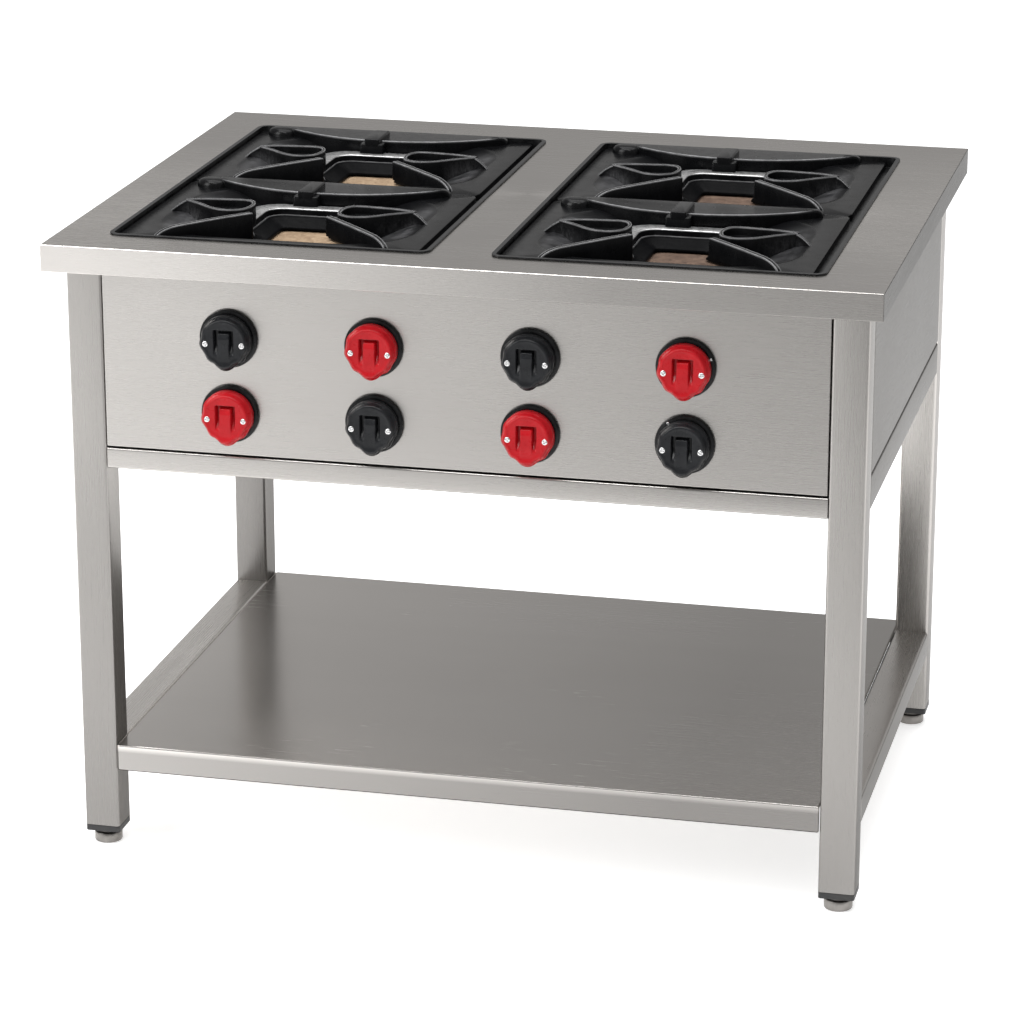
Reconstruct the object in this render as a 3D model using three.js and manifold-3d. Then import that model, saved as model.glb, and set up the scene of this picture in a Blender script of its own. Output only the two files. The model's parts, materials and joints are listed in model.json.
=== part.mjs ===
// Commercial gas range on an open stand: four cast burners under cast-iron pan
// supports, eight knobs on a front panel, a square-tube frame and a low shelf.
// Millimetres, +Z up. The cook stands at -Y. The origin is on the floor, under
// the middle of the worktop.
import * as THREE from "three";
import * as BufferGeometryUtils from "three/addons/utils/BufferGeometryUtils.js";
import Module from "manifold-3d";

const wasm = await Module();
wasm.setup();

// ---------------------------------------------------------------- dimensions
const GAP = 0.3; // left between pieces that rest on or butt against each other
const SHEET = 2; // folded stainless sheet

const WIDTH = 1100;
const DEPTH = 850;
const WORKTOP_Z = 850;
const SKIRT = 36;
const SKIRT_RETURN = 14;

const LEG = 48;
const LEG_WALL = 2;
const LEG_CORNER = 4;
const SIDE_OVERHANG = 21;
const FRONT_OVERHANG = 38;
const REAR_OVERHANG = 60;
const LEG_FOOT_Z = 28; // underside of the steel leg
const CAP_HEIGHT = 8;
const CAP_PLUG_TOP_Z = 58;
const FOOT_RADIUS = 19;
const FOOT_SHOULDER = 5; // height and depth of the step at the top of a foot
const FOOT_STUD_RADIUS = 6;
const FOOT_STUD_TOP_Z = 62;

const OUTER_X = WIDTH / 2 - SIDE_OVERHANG;
const INNER_X = OUTER_X - LEG;
const FRONT_Y = -DEPTH / 2 + FRONT_OVERHANG;
const REAR_Y = DEPTH / 2 - REAR_OVERHANG;
const LEG_TOP_Z = WORKTOP_Z - SHEET - GAP;

const MID_RAIL_Z = 541; // underside of the rails round the burner box
const FRONT_RAIL_HEIGHT = 28;
const SIDE_RAIL_HEIGHT = 48;
const RAIL_DEPTH = 40;
const TOP_RAIL_Z = 814;
const PANEL_GAP = 3; // dark line between the panels and the rails
const PANEL_TOP_Z = TOP_RAIL_Z - 2;
const PANEL_RETURN = 16;
const DRIP_PAN_Z = MID_RAIL_Z + 4;
const DRIP_PAN_HEIGHT = 22;

const SHELF_Z = 148;
const SHELF_LIP = 36;
const SHELF_RAIL_HEIGHT = 38;

// worktop openings, each with a black frame that carries two pan supports
const OPENING_X = [-265, 249];
const OPENING_Y = -10;
const OPENING_WIDTH = 426;
const OPENING_DEPTH = 684;
const OPENING_CORNER = 12;
const FRAME_LIP = 4;
const FRAME_LEDGE = 26;
const FRAME_DROP = 14;
const SUPPORT_WIDTH = 406;
const SUPPORT_DEPTH = 338;
const SUPPORT_SHIFT_X = -6; // the supports stand against the left of the frame
const SUPPORT_SHIFT_Y = 169.5;
const SUPPORT_Z = WORKTOP_Z - FRAME_DROP + SHEET + GAP;

// one pan support, from its own centre and the underside of its flange
const FLANGE = 8;
const DISH_WIDTH = 346;
const DISH_DEPTH = 278;
const DISH_CORNER = 90;
const TROUGH_Z = -16; // floor of the dish, round the collar
const TROUGH_RADIUS = 78;
const CAST_WALL = 6;
const COLLAR = 166; // the collar, its ledge and the flame hole are rounded squares
const COLLAR_CORNER = 40;
const COLLAR_TOP = 3;
const LEDGE = 118;
const LEDGE_CORNER = 24;
const LEDGE_Z = -6; // upper edge of the ledge that slopes down to the hole
const HOLE_WIDTH = 74; // the hole is longer than it is wide, towards the cook
const HOLE_BACK = 42;
const HOLE_FRONT = -62;
const HOLE_CORNER = 14;
const HOLE_Z = -19;
// the hole runs on below the right front finger and the leaf behind it, to this outline
const UNDERCUT = [[20, -62], [37, 6], [98, -52], [98, -100], [60, -62]];
const UNDERCUT_Z = -3;
const FRONT_GAP = 120; // half width of the wedge cut from the front of the collar
const FINGER_TOP = 24;
const FIN_ANGLES = [228, 316];
const FIN_TIP = 76;
const FIN_REACH = 222;
const FIN_SLOPE = 32; // length of the rounded slope at its outer end
const FIN_WIDTH = 10;
const TAB_X = -14; // the rear finger stands a little to the left
const TAB_WIDTH = 22;
const TAB_FRONT = 73;
const TAB_BACK = 134;
const TAB_FOOT_WIDTH = 34;
const WEB_HALF = 165;
const WEB_FRONT = 90; // front edge of the web at its middle
const WEB_END = 150; // and at its two ends
const WEB_BACK = 164;
const WEB_TOP = 18;
const LUMPS = [[-155, 143, 14], [150, 152, 10]]; // x, y and radius of a boss on each end

// burners, from the top of the head
const BURNER_TOP_Z = SUPPORT_Z - 25;
const BURNER_RADIUS = 88;
const BURNER_HEAD = 26;
const BURNER_STEP = 6;
const BURNER_STEM_RADIUS = 24;
const BAR_Z = MID_RAIL_Z + SIDE_RAIL_HEIGHT + GAP;
const BAR_HEIGHT = 24;
const BAR_WIDTH = 60;
const TUBE_RADIUS = 15;
const TUBE_HEIGHTS = [730, 680];
const TUBE_MOUTH_Y = -268;
const BELL_LENGTH = 26;
const BELL_LIP = 5;
const TUBE_WALL = 4;

// controls
const KNOB_X = [-308, -113, 94, 296];
const KNOB_Z = [730, 628.5];
const BEZEL_RADIUS = 39;
const BEZEL_HEIGHT = 6;
const BEZEL_BORE = 9;
const KNOB_RADIUS = 33.5;
const KNOB_SHOULDER = 10; // height of the straight side of a knob
const KNOB_DOME = 18;
const KNOB_RECESS = [26, 40, 10]; // width, length and corner of the horseshoe round the grip
const KNOB_GRIP = [14, 32, 22];
const SPINDLE_RADIUS = 5;
const SPINDLE_REACH = 16;
const PANEL_HOLE = 8;
const VALVE_WIDTH = 26;
const VALVE_DEPTH = 30;
const VALVE_LOW_Z = 606;
const VALVE_TOP_Z = 752;
const VALVE_BOSS_RADIUS = 12;
const VALVE_BOSS_REACH = 6;
const JET_RADIUS = 4;
const JET_REACH = 30;
const VALVE_FRONT_Y = FRONT_Y + PANEL_RETURN + 6;

const MANIFOLD_RADIUS = 12;
const MANIFOLD_Y = VALVE_FRONT_Y + VALVE_DEPTH + MANIFOLD_RADIUS + GAP;
const MANIFOLD_Z = 706;
const MANIFOLD_LEFT_X = -345;
const MANIFOLD_SIDE_X = 450;
const MANIFOLD_END_Y = REAR_Y + 38;
const UNION_LIP = 6;
const UNION_LENGTH = 16;

// ----------------------------------------------------------------- materials
const material = (color, roughness, metalness) =>
  new THREE.MeshStandardMaterial({ color, roughness, metalness });
const STEEL = material(0xbdb8b2, 0.34, 0.95);
const STEEL_DARK = material(0x8f8a84, 0.4, 0.95);
const IRON = material(0x1b1c1e, 0.45, 0.6);
const ENAMEL = material(0x121315, 0.35, 0.1);
const BURNER_IRON = material(0x8a6a4e, 0.8, 0.3);
const BLACK_PLASTIC = material(0x151515, 0.5, 0);
const KNOB_BLACK = material(0x17191b, 0.2, 0);
const KNOB_RED = material(0xc3151c, 0.2, 0);
const BRASS = material(0xb08d4a, 0.35, 0.9);
const PIPE_STEEL = material(0x77746f, 0.5, 0.8);

// ------------------------------------------------------------------- helpers
const gasRange = new THREE.Group();

function toSolid(geometry) {
  const plain = geometry.clone();
  plain.deleteAttribute("normal");
  plain.deleteAttribute("uv");
  const merged = BufferGeometryUtils.mergeVertices(plain, 1e-4);
  return new wasm.Manifold(new wasm.Mesh({
    numProp: 3,
    vertProperties: new Float32Array(merged.attributes.position.array),
    triVerts: new Uint32Array(merged.index.array),
  }));
}

function toGeometry(solid) {
  const mesh = solid.getMesh();
  const geometry = new THREE.BufferGeometry();
  geometry.setAttribute("position", new THREE.BufferAttribute(mesh.vertProperties, 3));
  geometry.setIndex(new THREE.BufferAttribute(mesh.triVerts, 1));
  const faceted = geometry.toNonIndexed();
  faceted.computeVertexNormals();
  return faceted;
}

function add(name, shape, finish, position = [0, 0, 0], rotation = [0, 0, 0]) {
  const geometry = shape.isBufferGeometry ? shape : toGeometry(shape);
  const mesh = new THREE.Mesh(geometry, finish);
  mesh.name = name;
  mesh.position.set(...position);
  mesh.rotation.set(...rotation);
  gasRange.add(mesh);
}

// a solid box between two opposite corners
function box(low, high) {
  const size = high.map((value, i) => value - low[i]);
  const geometry = new THREE.BoxGeometry(...size);
  geometry.translate(...low.map((value, i) => value + size[i] / 2));
  return toSolid(geometry);
}

function roundedShape(width, depth, corner) {
  const shape = new THREE.Shape();
  const [x, y, r] = [width / 2, depth / 2, corner];
  shape.moveTo(x - r, -y);
  shape.absarc(x - r, -y + r, r, -Math.PI / 2, 0);
  shape.absarc(x - r, y - r, r, 0, Math.PI / 2);
  shape.absarc(-x + r, y - r, r, Math.PI / 2, Math.PI);
  shape.absarc(-x + r, -y + r, r, Math.PI, Math.PI * 1.5);
  return shape;
}

// an upright prism of any outline, from z0 to z1
function prism(shape, z0, z1, curveSegments = 4) {
  const geometry = new THREE.ExtrudeGeometry(shape, {
    depth: z1 - z0, bevelEnabled: false, curveSegments,
  });
  geometry.translate(0, 0, z0);
  return toSolid(geometry);
}

const roundedPrism = (width, depth, corner, z0, z1, curveSegments = 3) =>
  prism(roundedShape(width, depth, corner), z0, z1, curveSegments);

function upright(radius, z0, z1, sides = 24) {
  const geometry = new THREE.CylinderGeometry(radius, radius, z1 - z0, sides);
  geometry.rotateX(Math.PI / 2);
  geometry.translate(0, 0, (z0 + z1) / 2);
  return toSolid(geometry);
}

// a round bar along Y
function alongY(radius, x, z, y0, y1, sides = 12) {
  const geometry = new THREE.CylinderGeometry(radius, radius, y1 - y0, sides);
  geometry.translate(x, (y0 + y1) / 2, z);
  return toSolid(geometry);
}

// a round bar between any two points
function rod(from, to, radius, sides = 10) {
  const start = new THREE.Vector3(...from);
  const end = new THREE.Vector3(...to);
  const along = end.clone().sub(start);
  const geometry = new THREE.CylinderGeometry(radius, radius, along.length(), sides);
  const turn = new THREE.Quaternion().setFromUnitVectors(
    new THREE.Vector3(0, 1, 0), along.clone().normalize());
  geometry.applyQuaternion(turn);
  geometry.translate(...start.add(end).multiplyScalar(0.5).toArray());
  return toSolid(geometry);
}

// skins a stack of rings, each an array of [x, y, z] in the same turning order
// (anticlockwise seen from +Z, lowest ring first), and closes both ends
function loft(rings) {
  const count = rings[0].length;
  const points = rings.flat();
  const index = [];
  for (let level = 0; level < rings.length - 1; level += 1) {
    for (let i = 0; i < count; i += 1) {
      const a = level * count + i;
      const b = level * count + ((i + 1) % count);
      index.push(a, b, b + count, a, b + count, a + count);
    }
  }
  const middle = (ring) => [0, 1, 2].map(
    (axis) => ring.reduce((sum, point) => sum + point[axis], 0) / count);
  points.push(middle(rings[0]), middle(rings[rings.length - 1]));
  const low = points.length - 2;
  const high = points.length - 1;
  const top = (rings.length - 1) * count;
  for (let i = 0; i < count; i += 1) {
    const next = (i + 1) % count;
    index.push(low, next, i, high, top + i, top + next);
  }
  const geometry = new THREE.BufferGeometry();
  geometry.setAttribute("position", new THREE.Float32BufferAttribute(points.flat(), 3));
  geometry.setIndex(index);
  return toSolid(geometry);
}

const SIDES = [["left", -1], ["right", 1]];
const ENDS = [["front", -1], ["rear", 1]];

// ---------------------------------------------------------------- sheet work
function worktop() {
  const [x, y] = [WIDTH / 2, DEPTH / 2];
  let top = box([-x, -y, WORKTOP_Z - SKIRT], [x, y, WORKTOP_Z]);
  top = top.subtract(box(
    [-x + SHEET, -y + SHEET, WORKTOP_Z - SKIRT + SHEET],
    [x - SHEET, y - SHEET, WORKTOP_Z - SHEET]));
  top = top.subtract(box(
    [-x + SKIRT_RETURN, -y + SKIRT_RETURN, WORKTOP_Z - SKIRT - 1],
    [x - SKIRT_RETURN, y - SKIRT_RETURN, WORKTOP_Z - SHEET]));
  for (const openingX of OPENING_X) {
    const cut = roundedPrism(
      OPENING_WIDTH + 2 * GAP, OPENING_DEPTH + 2 * GAP, OPENING_CORNER,
      WORKTOP_Z - SKIRT, WORKTOP_Z + 1);
    top = top.subtract(cut.translate([openingX, OPENING_Y, 0]));
  }
  return top;
}

// a tray-like sheet: one face with a return along each edge, hollow on the far side
function panel(width, height, returnDepth) {
  const outer = box([-width / 2, 0, 0], [width / 2, returnDepth, height]);
  const hollow = box(
    [-width / 2 + SHEET, SHEET, SHEET],
    [width / 2 - SHEET, returnDepth + 1, height - SHEET]);
  return outer.subtract(hollow);
}

function controlPanel() {
  const low = MID_RAIL_Z + FRONT_RAIL_HEIGHT + PANEL_GAP;
  let sheet = panel(2 * (INNER_X - 1), PANEL_TOP_Z - low, PANEL_RETURN);
  for (const x of KNOB_X) {
    for (const z of KNOB_Z) {
      sheet = sheet.subtract(alongY(PANEL_HOLE, x, z - low, -1, SHEET + 1));
    }
  }
  return sheet;
}

function bottomShelf() {
  const half = INNER_X - 1;
  const outer = box([-half, FRONT_Y, SHELF_Z - SHELF_LIP], [half, REAR_Y, SHELF_Z]);
  const hollow = box(
    [-half - 1, FRONT_Y + SHEET, SHELF_Z - SHELF_LIP - 1],
    [half + 1, REAR_Y - SHEET, SHELF_Z - SHEET]);
  return outer.subtract(hollow);
}

function dripPan() {
  const half = INNER_X - GAP;
  const y0 = FRONT_Y + RAIL_DEPTH + GAP;
  const y1 = REAR_Y - RAIL_DEPTH - GAP;
  const top = DRIP_PAN_Z + DRIP_PAN_HEIGHT;
  const outer = box([-half, y0, DRIP_PAN_Z], [half, y1, top]);
  const hollow = box(
    [-half + SHEET, y0 + SHEET, DRIP_PAN_Z + SHEET],
    [half - SHEET, y1 - SHEET, top + 1]);
  return outer.subtract(hollow);
}

// -------------------------------------------------------------------- frame
function legTube() {
  const outline = roundedShape(LEG, LEG, LEG_CORNER);
  const inside = LEG - 2 * LEG_WALL;
  const bore = roundedShape(inside, inside, LEG_CORNER - LEG_WALL);
  outline.holes.push(new THREE.Path(bore.getPoints(2).reverse()));
  return prism(outline, LEG_FOOT_Z, LEG_TOP_Z, 2);
}

// plastic plug in the end of a leg, with a bore for the stud of the foot
function legCap() {
  const inside = LEG - 2 * LEG_WALL - 2 * GAP;
  const plateTop = LEG_FOOT_Z - GAP;
  const plate = roundedPrism(LEG, LEG, LEG_CORNER, plateTop - CAP_HEIGHT, plateTop);
  const plug = roundedPrism(inside, inside, LEG_CORNER, plateTop - 2, CAP_PLUG_TOP_Z, 1);
  const bore = upright(FOOT_STUD_RADIUS + GAP, 0, 100, 12);
  return plate.add(plug).subtract(bore);
}

function levellingFoot() {
  const top = LEG_FOOT_Z - GAP - CAP_HEIGHT - 1;
  const base = upright(FOOT_RADIUS, 0, top - FOOT_SHOULDER)
    .add(upright(FOOT_RADIUS - FOOT_SHOULDER, 2, top));
  return base.add(upright(FOOT_STUD_RADIUS, top - 1, FOOT_STUD_TOP_Z, 12));
}

function rectangularTube(low, high, axis) {
  const inner = (corner, sign) => corner.map((value, i) => (
    i === axis ? value - sign : value + sign * LEG_WALL));
  return box(low, high).subtract(box(inner(low, 1), inner(high, -1)));
}

function buildStand() {
  for (const [sideName, side] of SIDES) {
    for (const [endName, end] of ENDS) {
      const place = [side * (OUTER_X - LEG / 2), end < 0 ? FRONT_Y + LEG / 2 : REAR_Y - LEG / 2, 0];
      add(`leg_${endName}_${sideName}`, legTube(), STEEL, place);
      add(`leg_cap_${endName}_${sideName}`, legCap(), BLACK_PLASTIC, place);
      add(`levelling_foot_${endName}_${sideName}`, levellingFoot(), STEEL, place);
    }
    const x0 = side < 0 ? -OUTER_X : INNER_X;
    const between = [FRONT_Y + LEG + GAP, REAR_Y - LEG - GAP];
    add(`side_rail_${sideName}`, rectangularTube(
      [x0, between[0], MID_RAIL_Z],
      [x0 + LEG, between[1], MID_RAIL_Z + SIDE_RAIL_HEIGHT], 1), STEEL);
    add(`shelf_rail_${sideName}`, rectangularTube(
      [x0, between[0], SHELF_Z - SHELF_RAIL_HEIGHT],
      [x0 + LEG, between[1], SHELF_Z], 1), STEEL);
  }
  const half = INNER_X - GAP;
  add("front_rail", rectangularTube(
    [-half, FRONT_Y, MID_RAIL_Z],
    [half, FRONT_Y + RAIL_DEPTH, MID_RAIL_Z + FRONT_RAIL_HEIGHT], 0), STEEL);
  add("rear_rail", rectangularTube(
    [-half, REAR_Y - RAIL_DEPTH, MID_RAIL_Z],
    [half, REAR_Y, MID_RAIL_Z + SIDE_RAIL_HEIGHT], 0), STEEL);
  add("top_rail_front", rectangularTube(
    [-half, FRONT_Y + 1, TOP_RAIL_Z],
    [half, FRONT_Y + RAIL_DEPTH / 2, LEG_TOP_Z], 0), STEEL);
  add("top_rail_rear", rectangularTube(
    [-half, REAR_Y - RAIL_DEPTH / 2, TOP_RAIL_Z],
    [half, REAR_Y - 1, LEG_TOP_Z], 0), STEEL);
}

function buildPanels() {
  const low = MID_RAIL_Z + FRONT_RAIL_HEIGHT + PANEL_GAP;
  add("control_panel", controlPanel(), STEEL, [0, FRONT_Y, low]);
  const sideLow = MID_RAIL_Z + SIDE_RAIL_HEIGHT + PANEL_GAP;
  const sideWidth = REAR_Y - FRONT_Y - 2 * LEG - 2;
  const sideTop = LEG_TOP_Z - 1;
  for (const [sideName, side] of SIDES) {
    add(`side_panel_${sideName}`, panel(sideWidth, sideTop - sideLow, PANEL_RETURN), STEEL,
      [side * OUTER_X, (FRONT_Y + REAR_Y) / 2, sideLow], [0, 0, side * Math.PI / 2]);
  }
  const backHeight = PANEL_TOP_Z - sideLow;
  const pipeHole = alongY(
    MANIFOLD_RADIUS + 3, -MANIFOLD_SIDE_X, MANIFOLD_Z - sideLow, -1, SHEET + 1);
  add("back_panel", panel(2 * (INNER_X - 1), backHeight, PANEL_RETURN).subtract(pipeHole),
    STEEL, [0, REAR_Y, sideLow], [0, 0, Math.PI]);
}

// ------------------------------------------------------ openings and castings
function openingFrame() {
  const ledgeZ = WORKTOP_Z - FRAME_DROP;
  const lip = roundedPrism(
    OPENING_WIDTH + 2 * FRAME_LIP, OPENING_DEPTH + 2 * FRAME_LIP, OPENING_CORNER + FRAME_LIP,
    WORKTOP_Z + GAP, WORKTOP_Z + GAP + SHEET);
  const wall = roundedPrism(
    OPENING_WIDTH, OPENING_DEPTH, OPENING_CORNER, ledgeZ, WORKTOP_Z + GAP + SHEET);
  const inside = roundedPrism(
    OPENING_WIDTH - 2 * SHEET, OPENING_DEPTH - 2 * SHEET, OPENING_CORNER - SHEET,
    ledgeZ + SHEET, WORKTOP_Z + 10);
  const through = roundedPrism(
    OPENING_WIDTH - 2 * FRAME_LEDGE, OPENING_DEPTH - 2 * FRAME_LEDGE, 6,
    ledgeZ - 1, ledgeZ + 10);
  return lip.add(wall).subtract(inside).subtract(through);
}

// where a ray at this angle meets a rounded rectangle
function roundedReach(width, depth, corner, angle) {
  const [c, s] = [Math.abs(Math.cos(angle)), Math.abs(Math.sin(angle))];
  const [x, y] = [width / 2, depth / 2];
  const flat = Math.min(x / Math.max(c, 1e-9), y / Math.max(s, 1e-9));
  const [px, py] = [flat * c, flat * s];
  if (px <= x - corner || py <= y - corner) return flat;
  const [cx, cy] = [x - corner, y - corner];
  const along = cx * c + cy * s;
  return along + Math.sqrt(along * along - (cx * cx + cy * cy) + corner * corner);
}

// a ring of points part of the way from the trough to the rim of the dish
const DISH_STEPS = 24;
function dishRing(grow, share, z) {
  const ring = [];
  for (let i = 0; i < DISH_STEPS; i += 1) {
    const angle = (i / DISH_STEPS) * 2 * Math.PI;
    const rim = roundedReach(DISH_WIDTH, DISH_DEPTH, DISH_CORNER, angle);
    const reach = TROUGH_RADIUS + (rim - TROUGH_RADIUS) * share + grow;
    ring.push([reach * Math.cos(angle), reach * Math.sin(angle), z]);
  }
  return ring;
}

// a front finger: a plain fin that stands on the dish and points at the flame
function fin(degrees) {
  const slope = FIN_REACH - FIN_SLOPE;
  const side = new THREE.Shape();
  side.moveTo(FIN_TIP, TROUGH_Z - 3);
  side.lineTo(FIN_REACH, TROUGH_Z - 3);
  side.lineTo(FIN_REACH, FLANGE + 1);
  side.quadraticCurveTo(FIN_REACH - 4, FINGER_TOP, slope, FINGER_TOP);
  side.lineTo(FIN_TIP + 3, FINGER_TOP);
  side.lineTo(FIN_TIP, FINGER_TOP - 3);
  const geometry = new THREE.ExtrudeGeometry(side, {
    depth: FIN_WIDTH, bevelEnabled: false, curveSegments: 3,
  });
  geometry.translate(0, 0, -FIN_WIDTH / 2);
  geometry.rotateX(Math.PI / 2);
  geometry.rotateZ(THREE.MathUtils.degToRad(degrees));
  return toSolid(geometry);
}

// a side finger: leaf-shaped, blunt at the flame and pointed at the rim
function leaf() {
  const outline = new THREE.Shape();
  outline.moveTo(60, -14);
  outline.quadraticCurveTo(60, 12, 78, 12);
  outline.lineTo(154, 5);
  outline.lineTo(154, -4);
  outline.quadraticCurveTo(132, -16, 112, -40);
  outline.quadraticCurveTo(104, -50, 84, -50);
  outline.quadraticCurveTo(60, -50, 60, -14);
  return prism(outline, TROUGH_Z - 3, FINGER_TOP, 3);
}

// the rear finger and the raised web behind it, whose front edge bows towards the flame
function rearWeb() {
  const outline = new THREE.Shape();
  outline.moveTo(-WEB_HALF, WEB_END);
  outline.quadraticCurveTo(0, 2 * WEB_FRONT - WEB_END, WEB_HALF, WEB_END);
  outline.lineTo(WEB_HALF, WEB_BACK);
  outline.lineTo(-WEB_HALF, WEB_BACK);
  let web = prism(outline, TROUGH_Z - 3, WEB_TOP, 8);
  web = web.add(box(
    [TAB_X - TAB_WIDTH / 2, TAB_FRONT, COLLAR_TOP - 1], [TAB_X + TAB_WIDTH / 2, TAB_BACK, FINGER_TOP]));
  web = web.add(box(
    [TAB_X - TAB_FOOT_WIDTH / 2, TAB_FRONT, COLLAR_TOP - 1],
    [TAB_X + TAB_FOOT_WIDTH / 2, WEB_FRONT + 4, WEB_TOP - 1]));
  for (const [x, y, radius] of LUMPS) {
    web = web.add(upright(radius, TROUGH_Z, FINGER_TOP, 12).translate([x, y, 0]));
  }
  return web;
}

function roundedRing(width, corner, z) {
  return roundedShape(width, width, corner).getPoints(3).slice(0, -1)
    .map((point) => [point.x, point.y, z]);
}

// horseshoe collar round the flame hole, with a ledge that slopes down to the hole
function collar() {
  const bottom = TROUGH_Z - CAST_WALL;
  const block = roundedPrism(COLLAR, COLLAR, COLLAR_CORNER, bottom, COLLAR_TOP);
  const well = roundedPrism(LEDGE, LEDGE, LEDGE_CORNER, LEDGE_Z, COLLAR_TOP + 1);
  const funnel = loft([
    roundedRing(HOLE_WIDTH, HOLE_CORNER, HOLE_Z),
    roundedRing(LEDGE - 2, LEDGE_CORNER, LEDGE_Z + 1)]);
  const wedge = new THREE.Shape();
  wedge.moveTo(0, -5);
  wedge.lineTo(-FRONT_GAP, -5 - FRONT_GAP);
  wedge.lineTo(FRONT_GAP, -5 - FRONT_GAP);
  return block.subtract(well).subtract(funnel)
    .subtract(prism(wedge, TROUGH_Z, COLLAR_TOP + 1));
}

function panSupport() {
  const bowl = loft([
    dishRing(CAST_WALL, 0, TROUGH_Z - CAST_WALL), dishRing(CAST_WALL, 1, FLANGE - 1)]);
  const inside = loft([dishRing(0, 0, TROUGH_Z), dishRing(0, 1, FLANGE), dishRing(0, 1, FLANGE + 2)]);
  const plate = roundedPrism(SUPPORT_WIDTH, SUPPORT_DEPTH, 8, 0, FLANGE).add(bowl).subtract(inside);
  const room = roundedPrism(SUPPORT_WIDTH, SUPPORT_DEPTH, 8, 0, FINGER_TOP).add(bowl);
  let raised = collar().add(rearWeb()).add(leaf()).add(leaf().mirror([1, 0, 0]));
  for (const degrees of FIN_ANGLES) raised = raised.add(fin(degrees));
  const under = TROUGH_Z - CAST_WALL - 1;
  const hole = roundedPrism(HOLE_WIDTH, HOLE_BACK - HOLE_FRONT, HOLE_CORNER, under, FLANGE)
    .translate([0, (HOLE_BACK + HOLE_FRONT) / 2, 0]);
  const undercut = new THREE.Shape(UNDERCUT.map(([x, y]) => new THREE.Vector2(x, y)));
  return plate.add(raised.intersect(room)).subtract(hole)
    .subtract(prism(undercut, under, UNDERCUT_Z));
}

// ------------------------------------------------------------------ burners
// cast head on a hollow stem, with two mixing tubes that reach to the jets
function burner(mouth) {
  const headLow = BURNER_TOP_Z - BURNER_HEAD;
  let casting = upright(BURNER_RADIUS, headLow, BURNER_TOP_Z - 4)
    .add(upright(BURNER_RADIUS - BURNER_STEP, headLow, BURNER_TOP_Z));
  casting = casting.add(upright(BURNER_STEM_RADIUS, BAR_Z + BAR_HEIGHT + GAP, headLow + 2, 16));
  for (const height of TUBE_HEIGHTS) {
    const end = [mouth[0], mouth[1], height];
    casting = casting.add(rod([0, 0, height], end, TUBE_RADIUS));
    const toward = new THREE.Vector3(mouth[0], mouth[1], 0).normalize()
      .multiplyScalar(BELL_LENGTH);
    const bellStart = [mouth[0] - toward.x, mouth[1] - toward.y, height];
    casting = casting.add(rod(bellStart, end, TUBE_RADIUS + BELL_LIP));
    const bore = rod([end[0] - toward.x * 2, end[1] - toward.y * 2, height],
      [end[0] + toward.x, end[1] + toward.y, height], TUBE_RADIUS - TUBE_WALL);
    casting = casting.subtract(bore);
  }
  return casting;
}

function buildCooktop() {
  const burnerColumns = { left: [0, 1], right: [3, 2] }; // knob column of the front, rear burner
  SIDES.forEach(([sideName], sideIndex) => {
    const openingX = OPENING_X[sideIndex];
    add(`opening_frame_${sideName}`, openingFrame(), ENAMEL, [openingX, OPENING_Y, 0]);
    ENDS.forEach(([endName, end], endIndex) => {
      const x = openingX + SUPPORT_SHIFT_X;
      const y = OPENING_Y + end * SUPPORT_SHIFT_Y;
      add(`pan_support_${endName}_${sideName}`, panSupport(), IRON, [x, y, SUPPORT_Z]);
      const column = KNOB_X[burnerColumns[sideName][endIndex]];
      const mouth = [column - x, TUBE_MOUTH_Y - y];
      add(`burner_${endName}_${sideName}`, burner(mouth), BURNER_IRON, [x, y, 0]);
    });
  });
  ENDS.forEach(([endName, end]) => {
    const y = OPENING_Y + end * SUPPORT_SHIFT_Y;
    const half = OUTER_X - PANEL_RETURN - 4;
    const bar = box([-half, y - BAR_WIDTH / 2, BAR_Z], [half, y + BAR_WIDTH / 2, BAR_Z + BAR_HEIGHT]);
    const hollow = box(
      [-half - 1, y - BAR_WIDTH / 2 + SHEET, BAR_Z - 1],
      [half + 1, y + BAR_WIDTH / 2 - SHEET, BAR_Z + BAR_HEIGHT - SHEET]);
    add(`burner_bar_${endName}`, bar.subtract(hollow), STEEL_DARK);
  });
}

// ----------------------------------------------------------------- controls
// scalloped outline: shallow lobes round the lower half and a longer one that points down
function knobOutline(scale, z) {
  const steps = 32;
  const ring = [];
  for (let i = 0; i < steps; i += 1) {
    const angle = (i / steps) * 2 * Math.PI;
    const fromBottom = Math.atan2(Math.sin(angle + Math.PI / 2), Math.cos(angle + Math.PI / 2));
    const lower = 0.5 - 0.5 * Math.cos(Math.min(Math.PI, Math.abs(fromBottom)) + Math.PI);
    const scallop = 1.3 * lower * Math.cos(8 * fromBottom);
    const pointer = 4 * Math.exp(-((fromBottom / 0.26) ** 2));
    const radius = (KNOB_RADIUS + scallop + pointer) * scale;
    ring.push([radius * Math.cos(angle), radius * Math.sin(angle), z]);
  }
  return ring;
}

// knob along +Z from the face of its bezel: domed disc, horseshoe recess, grip bar
function knob() {
  const low = BEZEL_HEIGHT + 2 * GAP;
  const dome = loft([
    knobOutline(0.96, low), knobOutline(1, low + 2), knobOutline(1, low + KNOB_SHOULDER),
    knobOutline(0.9, low + KNOB_DOME - 3), knobOutline(0.6, low + KNOB_DOME)]);
  const recess = roundedPrism(...KNOB_RECESS, low + KNOB_SHOULDER - 1, low + KNOB_DOME + 1, 2)
    .translate([0, 3, 0]);
  const [gripWidth, gripLength, gripTop] = KNOB_GRIP;
  const grip = box(
    [-gripWidth / 2, -gripLength / 2, low + KNOB_SHOULDER / 2],
    [gripWidth / 2, gripLength / 2, low + gripTop]);
  const socket = upright(SPINDLE_RADIUS + GAP, 0, SPINDLE_REACH + 1, 12);
  return dome.subtract(recess).add(grip).subtract(socket);
}

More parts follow.
